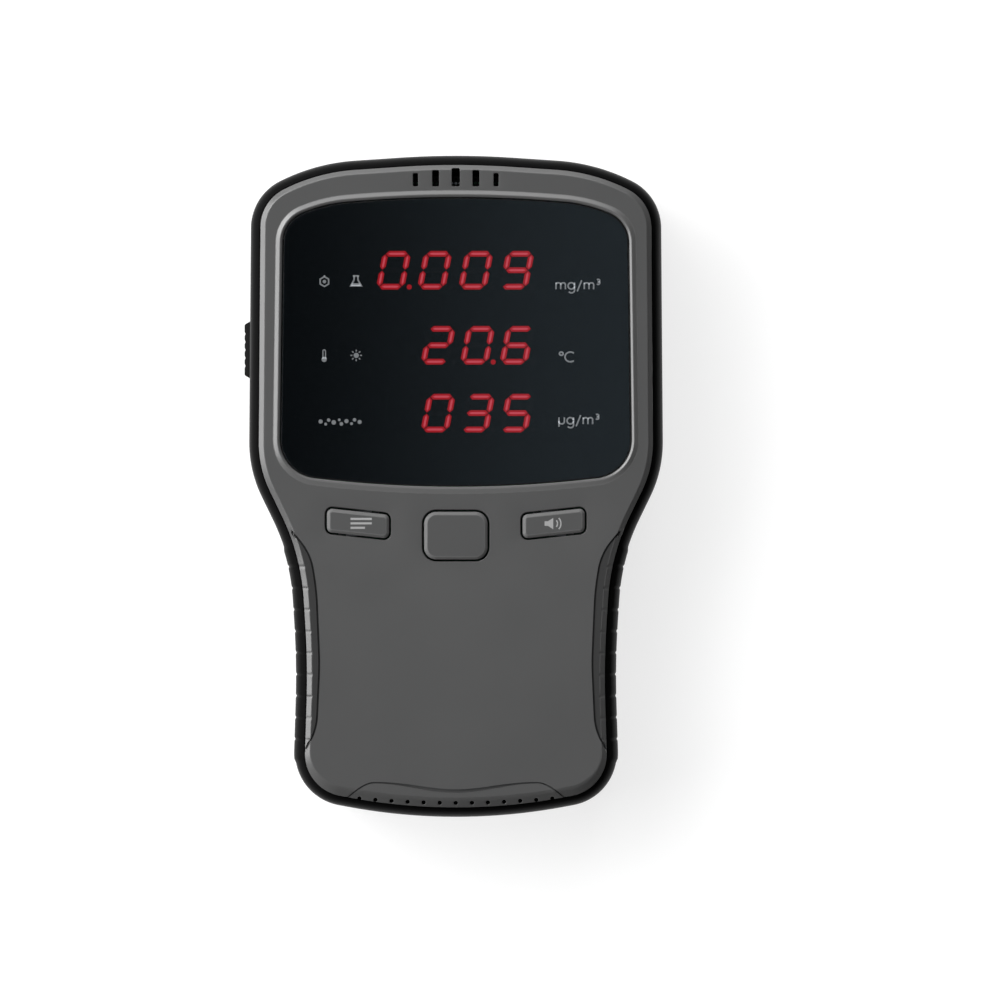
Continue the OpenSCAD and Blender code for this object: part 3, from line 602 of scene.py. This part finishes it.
def panel_meshes():
    """The flat face, and the edges that have to catch the light: the bevel and the bead."""
    cuts = [outline(LENS, -0.08)] + [shape(0) for shape, _ in holes]
    verts, faces = flat_mesh(panel_edge, cuts, panel_lines(), panel_z, panel_floor)
    x, y = np.array([np.mean([verts[i][:2] for i in f], axis=0) for f in faces]).T
    # Faces in a grip recess take the darker grey of the painted shade
    in_recess = inside(x, y, recesses[0]) | inside(x, y, recesses[1])
    in_recess &= depth(x, y, fine_body) > 3.75
    from_lens = -depth(x, y, fine_lens)
    # Faces on the bead take the lighter grey of the painted highlight
    on_bead = (from_lens > 0) & (from_lens < BEAD_WIDTH - 0.05)
    on_edge = ~inside(x, y, flat_edge) | (from_lens < BEAD_WIDTH)
    looks = in_recess + 2 * on_bead
    return [mesh(name, *some_of(verts, faces, chosen), [grey, grey_recess_shade, grey_bead_highlight], slot="grey_plastic",
                 sharp=50, index=looks[chosen])
            for name, chosen in (("front_panel_grey", ~on_edge), ("front_panel_edges", on_edge))]


panel_flat, panel_edges = panel_meshes()
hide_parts("face_panel")

# ---- Front shell ---------------------------------------------------------------------------------

body_line = outline(BODY)
side_steps = [math.ceil(math.dist(p, q) / along_ribs(*p))
              for p, q in zip(body_line, body_line[1:] + body_line[:1])]


def side_ring(d, z):
    """The body's outline moved inwards by d, in as many steps for every d."""
    loop = outline(BODY, d)
    return [(p[0] + (q[0] - p[0]) * i / m, p[1] + (q[1] - p[1]) * i / m, z)
            for p, q, m in zip(loop, loop[1:] + loop[:1], side_steps) for i in range(m)]


def front_profile():
    """Outside of the front shell, as (inset, height), from the joint to the panel's edge."""
    out = [(0.22, SEAM + 0.02), (0.05, SEAM + 0.16), (0, SEAM + 0.35), (0, 21), (0, SHOULDER)]
    for k in range(1, 15):
        t = math.radians(74) * k / 14
        out.append((2.75 * (1 - math.cos(t)), SHOULDER + 4.4 * math.sin(t)))
    return out


outer = front_profile() + [(2.2, 31.15), (2.38, 31.02), (2.42, 30.8), (2.42, 29.6)]
inner = [(SHELL_WALL + 2, 29.6), (SHELL_WALL + 0.5, 27), (SHELL_WALL, 24), (SHELL_WALL, SEAM + 0.02)]
shell = mesh("front_shell_black", *stack([side_ring(d, z) for d, z in outer + inner], loop=True), [black],
             slot="black_plastic", outwards=True)
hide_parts("front_shell")

slider_lo, slider_hi = box_mm("power_slider")
usb_lo, usb_hi = box_mm("usb_shell")
usb_mid = (usb_lo[2] + usb_hi[2]) / 2
slot_mid = (slider_lo[1] + slider_hi[1] - SLIDER_TRAVEL) / 2
slot_len = slider_hi[1] - slider_lo[1] + SLIDER_TRAVEL + 0.5
slot_z = (slider_lo[2] + slider_hi[2]) / 2

# A shallow recess for the slider and one for the socket's mouth, then the openings in them
cut(shell, x_prism(-52, -48.2, polygon(box_outline(slot_mid, slot_z + 0.1, slot_len, 6.3, 0.7))),
    y_prism(-80, -77.75, polygon(box_outline(0, usb_mid, 10.2, 4.5, 1.9))))
cut(shell, x_prism(-49, -40, polygon(box_outline(slot_mid, slot_z, 3.6 + SLIDER_TRAVEL, 2.4, 0.3))),
    y_prism(-80, -72, polygon(box_outline(0, usb_mid, 9.4, 3.7, 1.5))))

# ---- Back shell ----------------------------------------------------------------------------------


def back_profile():
    """Outside of the back shell, as (inset, height), from the flat back to the joint."""
    out = []
    for k in range(15):
        t = math.radians(90) * k / 14
        out.append((6.2 - 6.2 * math.sin(t), 7.5 - 7.5 * math.cos(t)))
    return out + [(0, 11), (0, SEAM - 0.35), (0.05, SEAM - 0.16), (0.22, SEAM - 0.02)]


def well(x, y, r, top, lip=0.35):
    """Round cutter with a softened mouth at the flat back."""
    steps = [(r + lip + 1, -1), (r + lip, 0)]
    steps += [(r + lip * (1 - math.sin(t)), lip * (1 - math.cos(t))) for t in (0.4, 0.8, 1.2, math.pi / 2)]
    return stack([at(circle(x, y, q, 48), z) for q, z in steps + [(r, top)]])


def slit(x, y, w, h, top, lip=0.25, r=None):
    """Cutter for a slit with a softened mouth. Its ends are round, unless r says otherwise."""
    r = w / 2 - 0.02 if r is None else r
    mouth = [(-lip - 0.6, -0.6), (-lip, 0), (-lip * 0.4, lip * 0.25), (-lip * 0.1, lip * 0.6)]
    steps = mouth + [(0, lip), (0, top)]
    return stack([at(polygon(box_outline(x, y, w, h, r), d), z) for d, z in steps])


inside_back = [(SHELL_WALL, SEAM - 0.02), (SHELL_WALL, 9), (5.6, 9), (5.8, 2.4)]
back = mesh("back_shell_black", *stack([side_ring(d, z) for d, z in back_profile() + inside_back]), [black],
            slot="black_plastic", outwards=True)
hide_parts("back_shell")
AIR_PITCH = 2.6
cut(back, *[well(x, y, 3.1, 15) for x, y in SCREWS],
    *[slit(11 + i * AIR_PITCH, 36, 1.6, 16, 4) for i in range(-3, 4)],
    *[slit(-14 + i * AIR_PITCH, 36, 1.6, 10, 4) for i in range(-2, 3)],
    slit(0, -42, 38, 24, 0.3, lip=0.12, r=1.5))

boss = ((3.1, 2.5), (3.1, 15), (1.6, 15), (1.6, SEAM), (4.4, SEAM), (4.4, 2.5))
tubes = [stack([at(circle(x, y, q, 48), z) for q, z in boss], loop=True) for x, y in SCREWS]
mesh("back_shell_bosses", *joined(*tubes), [black], slot="black_plastic", outwards=True)

# ---- Side grips ----------------------------------------------------------------------------------

GRIP_FROM, GRIP_TO = 14.4, 65.6      # below the origin


def rib_relief(y):
    """How far the grip stands out of the shells: thin grooves between broad ribs, fading at both ends."""
    out = 0.26 * ramp(-y, GRIP_FROM, GRIP_FROM + 1.2) * (1 - ramp(-y, GRIP_TO - 1.2, GRIP_TO))
    for r in RIBS:
        out = out - 0.24 * np.exp(-((y - r) / 0.3) ** 2)
    return out


def along_grip(x, y):
    """Step for subdivided() that shows the grooves."""
    return 0.22 if along_ribs(x, y) < 1 else 2


def grip(side):
    """Ribbed skin over both shells, from just inside them to the relief."""
    profile = [(d, z) for d, z in back_profile() if z > 3]
    profile += [(d, z) for d, z in front_profile()[:-1] if z > SEAM + 0.1]
    line = np.array([p for p in subdivided(outline(BODY, 0), along_grip)
                     if p[0] > 25 and -GRIP_TO < p[1] < -GRIP_FROM])
    out = normals(line)
    last = len(profile) - 1
    rings = []
    for k, (d, z) in enumerate(profile):
        fade = min(1, k / 2, (last - k) / 2)
        lift = rib_relief(line[:, 1]) * fade + 0.02
        over_joint = abs(z - SEAM) < 0.5
        p = line + out * (lift - (0 if over_joint else d))[:, None]
        rings.append([(side * x, y, z) for x, y in p.tolist()])
    for d, z in profile[::-1]:
        rings.append([(side * x, y, z) for x, y in (line - out * (d + 0.5)).tolist()])
    n, m = len(line), len(rings)
    pairs = [(j * n, (j + 1) % m * n) for j in range(m)]
    faces = [(a + i, a + i + 1, b + i + 1, b + i) for a, b in pairs for i in range(n - 1)]
    faces += [tuple(a for a, _ in pairs), tuple(a + n - 1 for a, _ in pairs)[::-1]]
    return [p for r in rings for p in r], faces


for side, node in ((-1, "left_grip"), (1, "right_grip")):
    ob = mesh(node + "_ribbed", *grip(side), [black_grip], slot="grip_plastic", outwards=True, sharp=50)
    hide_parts(node)

# ---- Lens ----------------------------------------------------------------------------------------

LENS_GAP, LENS_EDGE = 0.04, 0.35     # gap round the lens; radius of its edge
lens_low = box_mm("display_lens")[0][2] + 0.06
lens_steps = [(0.06, lens_low), (LENS_GAP, lens_low + 0.05), (LENS_GAP, LENS_TOP - LENS_EDGE)]
lens_steps += [(LENS_GAP + LENS_EDGE * (1 - math.cos(t)), LENS_TOP - LENS_EDGE * (1 - math.sin(t)))
               for t in (0.3, 0.6, 0.9, 1.2, math.pi / 2)]
lens = mesh("smoked_lens", *stack([at(outline(LENS, d), z) for d, z in lens_steps]), [smoked],
            slot="smoked_lens", outwards=True)
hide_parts("display_lens")

# ---- Digits --------------------------------------------------------------------------------------

LEAN = math.tan(math.radians(11))
DIGIT_W, DIGIT_H, BAR = 6.7, 9.1, 1.35
LAST_DIGIT_X = 14.4
LIT = {"0": "abcdef", "2": "abdeg", "3": "abcdg", "5": "acdfg", "6": "acdefg", "9": "abcdfg"}


def bar_shapes():
    """The seven bars of a digit as outlines about its middle, before it leans."""
    x, y, gap, t = (DIGIT_W - BAR) / 2, (DIGIT_H - BAR) / 2, 0.13, BAR / 2

    def level(cy):
        a = x - gap
        return [(-a, cy), (-a + t, cy + t), (a - t, cy + t), (a, cy), (a - t, cy - t), (-a + t, cy - t)]

    def upright(cx, low, high):
        return [(cx, high), (cx + t, high - t), (cx + t, low + t),
                (cx, low), (cx - t, low + t), (cx - t, high - t)]

    return {"a": level(y), "g": level(0), "d": level(-y),
            "b": upright(x, gap, y - gap), "c": upright(x, -y + gap, -gap),
            "e": upright(-x, -y + gap, -gap), "f": upright(-x, gap, y - gap)}


def shrunk(shape, kx, ky):
    """The same outline, smaller about its middle."""
    mx, my = np.mean(shape, axis=0)
    return [(mx + (x - mx) * kx, my + (y - my) * ky) for x, y in shape]


def row_of_digits(mid_y, pitch, digits, top):
    """Bars and dots of one row, with each face's look: 0 for lit, 1 for unlit, 2 for a lit bar's core."""
    shapes, looks = [], []

    def add(loop, low, high, look):
        shape = plate(loop, low, high)
        shapes.append(shape)
        looks.extend([look] * len(shape[1]))

    figures = digits.replace(".", "")
    for i, figure in enumerate(figures):
        cx = LAST_DIGIT_X - (len(figures) - 1 - i) * pitch
        for key, shape in bar_shapes().items():
            on = key in LIT[figure]
            add([(cx + x + y * LEAN, mid_y + y) for x, y in shape], top - 0.5, top + 0.02, 0 if on else 1)
            if on:
                core = shrunk(shape, *((0.8, 0.36) if key in "adg" else (0.36, 0.8)))
                add([(cx + x + y * LEAN, mid_y + y) for x, y in core], top, top + 0.04, 2)
        dot = circle(cx + DIGIT_W / 2 + 0.35, mid_y - DIGIT_H / 2 + 0.6, 0.6, 20)
        add(dot, top - 0.5, top + 0.02, 0 if i == digits.find(".") - 1 else 1)
    return joined(*shapes), looks


for row, mid_y, pitch, digits in ROWS:
    node = row + "_segments"
    shape, looks = row_of_digits(mid_y, pitch, digits, box_mm(node)[1][2])
    ob = mesh(node + "_lit", *shape, [lit, unlit, lit_core], slot="red_segments", outwards=True, index=looks)
    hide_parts(node)

# ---- Printed signs -------------------------------------------------------------------------------


def ribbon(points, w, closed=False):
    """Flat stroke of width w through points."""
    points = [q for i, q in enumerate(points) if i == 0 or math.dist(q, points[i - 1]) > 1e-6]
    p = np.array(points, float)
    n = len(p)
    left, right = [], []
    for i in range(n):
        a = unit(p[i] - p[i - 1] if (i or closed) else p[1] - p[0])
        b = unit(p[(i + 1) % n] - p[i] if (i < n - 1 or closed) else p[-1] - p[-2])
        m = np.array([-(a + b)[1], (a + b)[0]])
        m = m / max(np.hypot(*m), 1e-6)
        k = max(0.4, m @ np.array([-a[1], a[0]]))
        left.append(tuple(p[i] + m * w / 2 / k))
        right.append(tuple(p[i] - m * w / 2 / k))
    pairs = [(i, (i + 1) % n) for i in range(n if closed else n - 1)]
    return [(left[i], left[j], right[j], right[i]) for i, j in pairs]


def arc(cx, cy, r, a0, a1, n=14, squash=1.0):
    """Points of an arc between two angles in degrees."""
    turns = [math.radians(a0 + (a1 - a0) * i / n) for i in range(n + 1)]
    return [(cx + r * math.cos(t), cy + squash * r * math.sin(t)) for t in turns]


def printed(name, quads, z, mat, body, slot):
    """Ink laid flat at height z, from quads and other flat loops."""
    verts, faces = [], []
    for q in quads:
        area = sum(q[i - 1][0] * q[i][1] - q[i][0] * q[i - 1][1] for i in range(len(q)))
        q = q if area > 0 else q[::-1]
        faces.append(tuple(range(len(verts), len(verts) + len(q))))
        verts += [(x, y, z) for x, y in q]
    return mesh(name, verts, faces, [mat], body=body, slot=slot)


# Strokes of the unit symbols, on a letter 1 wide and 1 tall, and how far each moves the next one on
GLYPHS = {
    "m": [[(0, 0), (0, 0.9)], [(0, 0.7)] + arc(0.27, 0.62, 0.25, 130, 0, 8) + [(0.52, 0)],
          [(0.52, 0.62)] + arc(0.79, 0.62, 0.25, 150, 0, 8) + [(1.04, 0)]],
    "g": [arc(0.35, 0.45, 0.36, 10, 350, 16, 1.2),
          [(0.71, 0.9), (0.71, -0.15)] + arc(0.37, -0.15, 0.34, 0, -150, 8)],
    "/": [[(0, -0.3), (0.5, 1.2)]],
    "C": [arc(0.5, 0.6, 0.55, 50, 310, 18, 1.1)],
    "deg": [arc(0.2, 1.0, 0.2, 0, 360, 12)],
    "u": [[(0, 0.9), (0, -0.35)], [(0, 0.4)] + arc(0.3, 0.32, 0.3, 190, 350, 8) + [(0.6, 0.9)]],
    "3": [arc(0.2, 1.15, 0.17, 140, -80, 8) + arc(0.2, 0.83, 0.18, 80, -140, 8)],
}
ADVANCE = {"m": 1.34, "g": 1.0, "/": 0.78, "C": 1.2, "deg": 0.62, "u": 0.9, "3": 0.6}
LETTER_W = 1.22                      # width of a letter for a height of 1


def symbol(letters, x, y, size, w):
    """Unit symbol with its low left corner at x, y, in strokes of width w."""
    quads, wide = [], LETTER_W * size
    for key in letters:
        for stroke in GLYPHS[key]:
            quads += ribbon([(x + px * wide, y + py * size) for px, py in stroke], w)
        x += ADVANCE[key] * wide
    return quads


def molecule(x, y):
    """Ring molecule: a hexagon with a dot inside and a short bond on top."""
    turns = [math.radians(60 * k + 30) for k in range(6)]
    ring = [(x + 1.15 * math.cos(t), y + 1.15 * math.sin(t)) for t in turns]
    return ribbon(ring, 0.34, True) + ribbon([(x, y + 1.2), (x, y + 1.5)], 0.34) + [circle(x, y, 0.42, 12)]


def flask(x, y):
    """Flask with a flat base, partly full."""
    side = [(0.45, 2.3), (0.45, 1.4), (1.25, 0)]
    wall = [(x - dx, y + dy) for dx, dy in side] + [(x + dx, y + dy) for dx, dy in side[::-1]]
    lip = [(x - 0.75, y + 2.35), (x + 0.75, y + 2.35)]
    content = [(x - 0.85, y + 0.6), (x + 0.85, y + 0.6), (x + 1.15, y), (x - 1.15, y)]
    return ribbon(wall, 0.34) + ribbon(lip, 0.34) + [content]


def thermometer(x, y):
    """Thermometer, with x, y in the middle of its bulb."""
    left, right = [(x - 0.3, y + 0.15), (x - 0.3, y + 1.95)], [(x + 0.3, y + 0.15)]
    return ribbon(left + arc(x, y + 1.95, 0.3, 180, 0, 6) + right, 0.26) + [circle(x, y, 0.62, 16)]


def sun(x, y):
    """Disc with eight rays."""
    quads = [circle(x, y, 0.62, 16)]
    for k in range(8):
        c, s = math.cos(math.radians(45 * k)), math.sin(math.radians(45 * k))
        quads += ribbon([(x + 0.9 * c, y + 0.9 * s), (x + 1.35 * c, y + 1.35 * s)], 0.28)
    return quads


# Grains of dust: x, y, radius
GRAINS = [(0.5, 0.1, 0.5), (1.7, -0.5, 0.35), (2.4, 0.45, 0.42), (3.6, -0.1, 0.55), (4.9, 0.5, 0.33),
          (5.4, -0.45, 0.45), (6.6, 0.2, 0.5), (7.8, -0.4, 0.36), (8.5, 0.5, 0.42), (9.7, 0.0, 0.5)]

marks = symbol(["m", "g", "/", "m", "3"], 23.6, 46.3, 1.75, 0.34)
marks += symbol(["deg", "C"], 24.4, 29.2, 1.9, 0.36)
marks += symbol(["u", "g", "/", "m", "3"], 24.3, 14.5, 1.75, 0.34)
marks += molecule(-31.0, 48.1) + flask(-23.55, 47.1) + thermometer(-31.05, 29.75) + sun(-23.5, 30.7)
marks += [circle(-32.4 + dx, 15.0 + dy, r, 14) for dx, dy, r in GRAINS]
film_top = box_mm("lens_film")[1][2]
# Its glow is painted light, not a backlight
printed("display_symbols", marks, film_top + 0.02, print_painted_glow, "housing", "black_film")

# ---- Keys ----------------------------------------------------------------------------------------

KEY_GAP = 0.4                        # gap round a cap
# Edge of a cap, as (inset, height from the top): a soft corner, a narrow chamfer and a soft rim
CAP_STEPS = [(0, -0.62), (0.02, -0.52), (0.07, -0.44), (0.14, -0.385),
             (0.52, -0.12), (0.6, -0.07), (0.7, -0.03), (0.85, 0)]


def key_cap(v, low, top):
    """Cap with a narrow chamfer round a flat top, and whether each face is on the chamfer."""
    steps = [(KEY_GAP, low)] + [(KEY_GAP + d, top + z) for d, z in CAP_STEPS]
    rings = [at(polygon(v, d, 0.002), z) for d, z in steps]
    # The faces on the chamfer get the lighter grey of the painted highlight
    on_chamfer = [k > 2 for k in range(len(CAP_STEPS)) for _ in rings[0]] + [False, False]
    return *stack(rings), on_chamfer


for v, node in ((mirrored(SIDE_KEY), "fn_key"), (CENTRE_KEY, "centre_key"), (SIDE_KEY, "mute_key")):
    cap_verts, cap_faces, on_chamfer = key_cap(v, box_mm(node)[0][2] + 0.9, KEY_TOP - 0.02)
    ob = mesh(node + "_cap", cap_verts, cap_faces, [key_grey, key_chamfer_highlight], body=node, slot="grey_plastic",
              outwards=True, sharp=60, index=on_chamfer)
    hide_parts(node)


def menu_sign(x, y):
    """Three bars, the last one shorter."""
    quads = []
    for k, w in enumerate((5.0, 5.0, 3.4)):
        quads += ribbon([(x, y - 1.05 * k), (x + w, y - 1.05 * k)], 0.5)
    return quads


def speaker_sign(x, y):
    """Loudspeaker with two waves."""
    quads = [[(x - 1.7, y - 0.55), (x - 0.9, y - 0.55), (x - 0.9, y + 0.55), (x - 1.7, y + 0.55)],
             [(x - 0.9, y - 0.55), (x + 0.35, y - 1.35), (x + 0.35, y + 1.35), (x - 0.9, y + 0.55)]]
    for r, n in ((1.15, 10), (1.95, 12)):
        quads += ribbon(arc(x + 0.2, y, r, -42, 42, n), 0.32)
    return quads


printed("menu_sign", menu_sign(-24.8, -7.85), KEY_TOP, key_print, "fn_key", "grey_plastic")
printed("speaker_sign", speaker_sign(22.6, -8.95), KEY_TOP, key_print, "mute_key", "grey_plastic")

# ---- Power slider --------------------------------------------------------------------------------


def slider_cap():
    """Cap over its slot: a rounded block with five grooves across its grip, and the stem behind it."""
    along, up = 97, 33                            # points along Y and along Z
    base, out = -48.35, slider_lo[0]              # bottom of the recess in the shell, and the cap's face
    mid_y, half_y, half_z = (slider_lo[1] + slider_hi[1]) / 2, (slider_hi[1] - slider_lo[1]) / 2, 3.0
    y, z = np.meshgrid(np.linspace(-half_y, half_y, along), np.linspace(-half_z, half_z, up))
    from_end, from_side = half_y - np.abs(y), half_z - np.abs(z)
    x = base + (out - base) * ramp(from_end, 0, 1.5) * ramp(from_side, 0, 0.9)
    for g in range(-2, 3):
        x += 0.4 * np.exp(-((y - g * 1.9) / 0.3) ** 2) * ramp(from_side, 0.5, 1.3)
    verts = np.stack([np.minimum(x, base), mid_y + y, slot_z + z], 2).reshape(-1, 3).tolist()
    grid = np.arange(along * up).reshape(up, along)
    corners = np.stack([grid[:-1, :-1], grid[1:, :-1], grid[1:, 1:], grid[:-1, 1:]], 2)
    faces = corners.reshape(-1, 4).tolist()
    rim = np.concatenate([grid[0], grid[1:, -1], grid[-1, -2::-1], grid[-2:0:-1, 0]]).tolist()
    start, n = len(verts), len(rim)
    verts += [(base + 0.12, *verts[i][1:]) for i in rim]
    faces += [(rim[k - 1], start + k - 1, start + k, rim[k]) for k in range(1, n)]
    faces += [(rim[-1], start + n - 1, start, rim[0]), tuple(range(start, start + n))]
    stem = x_prism(base + 0.1, base + 4.7, polygon(box_outline(mid_y, slot_z, 3.2, 1.9, 0.2)))
    return joined((verts, faces), stem)


ob = mesh("power_slider_cap", *slider_cap(), [slider_black], body="power_slider", slot="slider_plastic",
          outwards=True, sharp=50)
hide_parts("power_slider")

# ---- Table, light and camera ---------------------------------------------------------------------

bpy.ops.mesh.primitive_plane_add(size=8, location=(0, 0, -0.00002))
floor = bpy.context.object
floor.name = "table_top"
floor.data.materials.append(table)

# A sky that is brightest on the left and at the display end, with a dim patch straight up for the lens
world = bpy.data.worlds.new("studio")
scene.world = world
world.use_nodes = True
nt = world.node_tree
sky = nt.nodes["Background"]
direction = nt.nodes.new("ShaderNodeTexCoord")
axes = nt.nodes.new("ShaderNodeSeparateXYZ")
nt.links.new(direction.outputs["Generated"], axes.inputs["Vector"])


def sky_ramp(value, lo, hi):
    """0 where the value is at lo, and 1 where it is at hi."""
    node = nt.nodes.new("ShaderNodeMapRange")
    node.interpolation_type = "SMOOTHSTEP"
    node.inputs["From Min"].default_value = lo
    node.inputs["From Max"].default_value = hi
    nt.links.new(value, node.inputs["Value"])
    return node.outputs["Result"]


def sky_mix(factor, a, b):
    """From a to b, each a colour or a socket."""
    node = nt.nodes.new("ShaderNodeMix")
    node.data_type = "RGBA"
    nt.links.new(factor, node.inputs["Factor"])
    for name, value in (("A", a), ("B", b)):
        if isinstance(value, tuple):
            node.inputs[name].default_value = (*value, 1)
        else:
            nt.links.new(value, node.inputs[name])
    return node.outputs["Result"]


bright_side = nt.nodes.new("ShaderNodeVectorMath")
bright_side.operation = "DOT_PRODUCT"
bright_side.inputs[1].default_value = (-0.8, 0.5, 0)
nt.links.new(direction.outputs["Generated"], bright_side.inputs[0])
towards = sky_ramp(bright_side.outputs["Value"], -0.75, 0.75)
round_about = sky_mix(towards, (0.03, 0.03, 0.03), (0.52, 0.52, 0.52))
patch = sky_mix(sky_ramp(axes.outputs["X"], -0.036, 0.022), (0.04, 0.052, 0.062), (0.25, 0.32, 0.37))
nt.links.new(sky_mix(sky_ramp(axes.outputs["Z"], 0.985, 0.997), round_about, patch), sky.inputs["Color"])


def receivers(name, pieces, state):
    """Collection that limits a light to these pieces, or to all the others."""
    group = bpy.data.collections.new(name)
    for piece in pieces:
        group.objects.link(piece)
    for link in group.collection_objects:
        link.light_linking.link_state = state
    return group


# Each softbox is two lights in one place. One only fills: the flat face and the lens would mirror it as a
# white sheet in low views. The other one gives the panel's rounded edges their highlights.
FILLED = receivers("filled", [lens, panel_edges], "EXCLUDE")
GLOSSY = receivers("glossy", [panel_edges], "INCLUDE")
AIM = (0, 0, 0.03)


def softbox(name, place, size, power):
    """Rectangular softbox that points at the object, as its fill and its gloss light."""
    for part, group in (("fill", FILLED), ("gloss", GLOSSY)):
        light = bpy.data.lights.new(name + "_" + part, "AREA")
        light.shape, light.size, light.size_y, light.energy = "RECTANGLE", size[0], size[1], power
        ob = bpy.data.objects.new(light.name, light)
        ob.visible_glossy = group is GLOSSY
        ob.light_linking.receiver_collection = group
        ob.location = place
        ob.rotation_euler = (Vector(AIM) - Vector(place)).to_track_quat("-Z", "Y").to_euler()
        scene.collection.objects.link(ob)


softbox("key_left", (-1.2, 0.3, 0.65), (1.4, 1.5), 35)
softbox("top_end", (-0.2, 1.3, 0.8), (1.6, 1.1), 16)
softbox("high_left", (-0.95, 0.75, 1.35), (1.0, 1.0), 14)

FOCAL, SENSOR = 250, 36
VIEW_WIDTH = 0.2356                  # width of the view at the grey face
camera_data = bpy.data.cameras.new("camera")
camera_data.lens = FOCAL
camera_data.sensor_width = SENSOR
camera_data.clip_end = 20
camera = bpy.data.objects.new("camera", camera_data)
scene.collection.objects.link(camera)
scene.camera = camera
camera.location = (0.0104, -0.0034, FACE / 1000 + VIEW_WIDTH * FOCAL / SENSOR)
camera.rotation_euler = (0, 0, 0)

scene.view_settings.view_transform = "Standard"
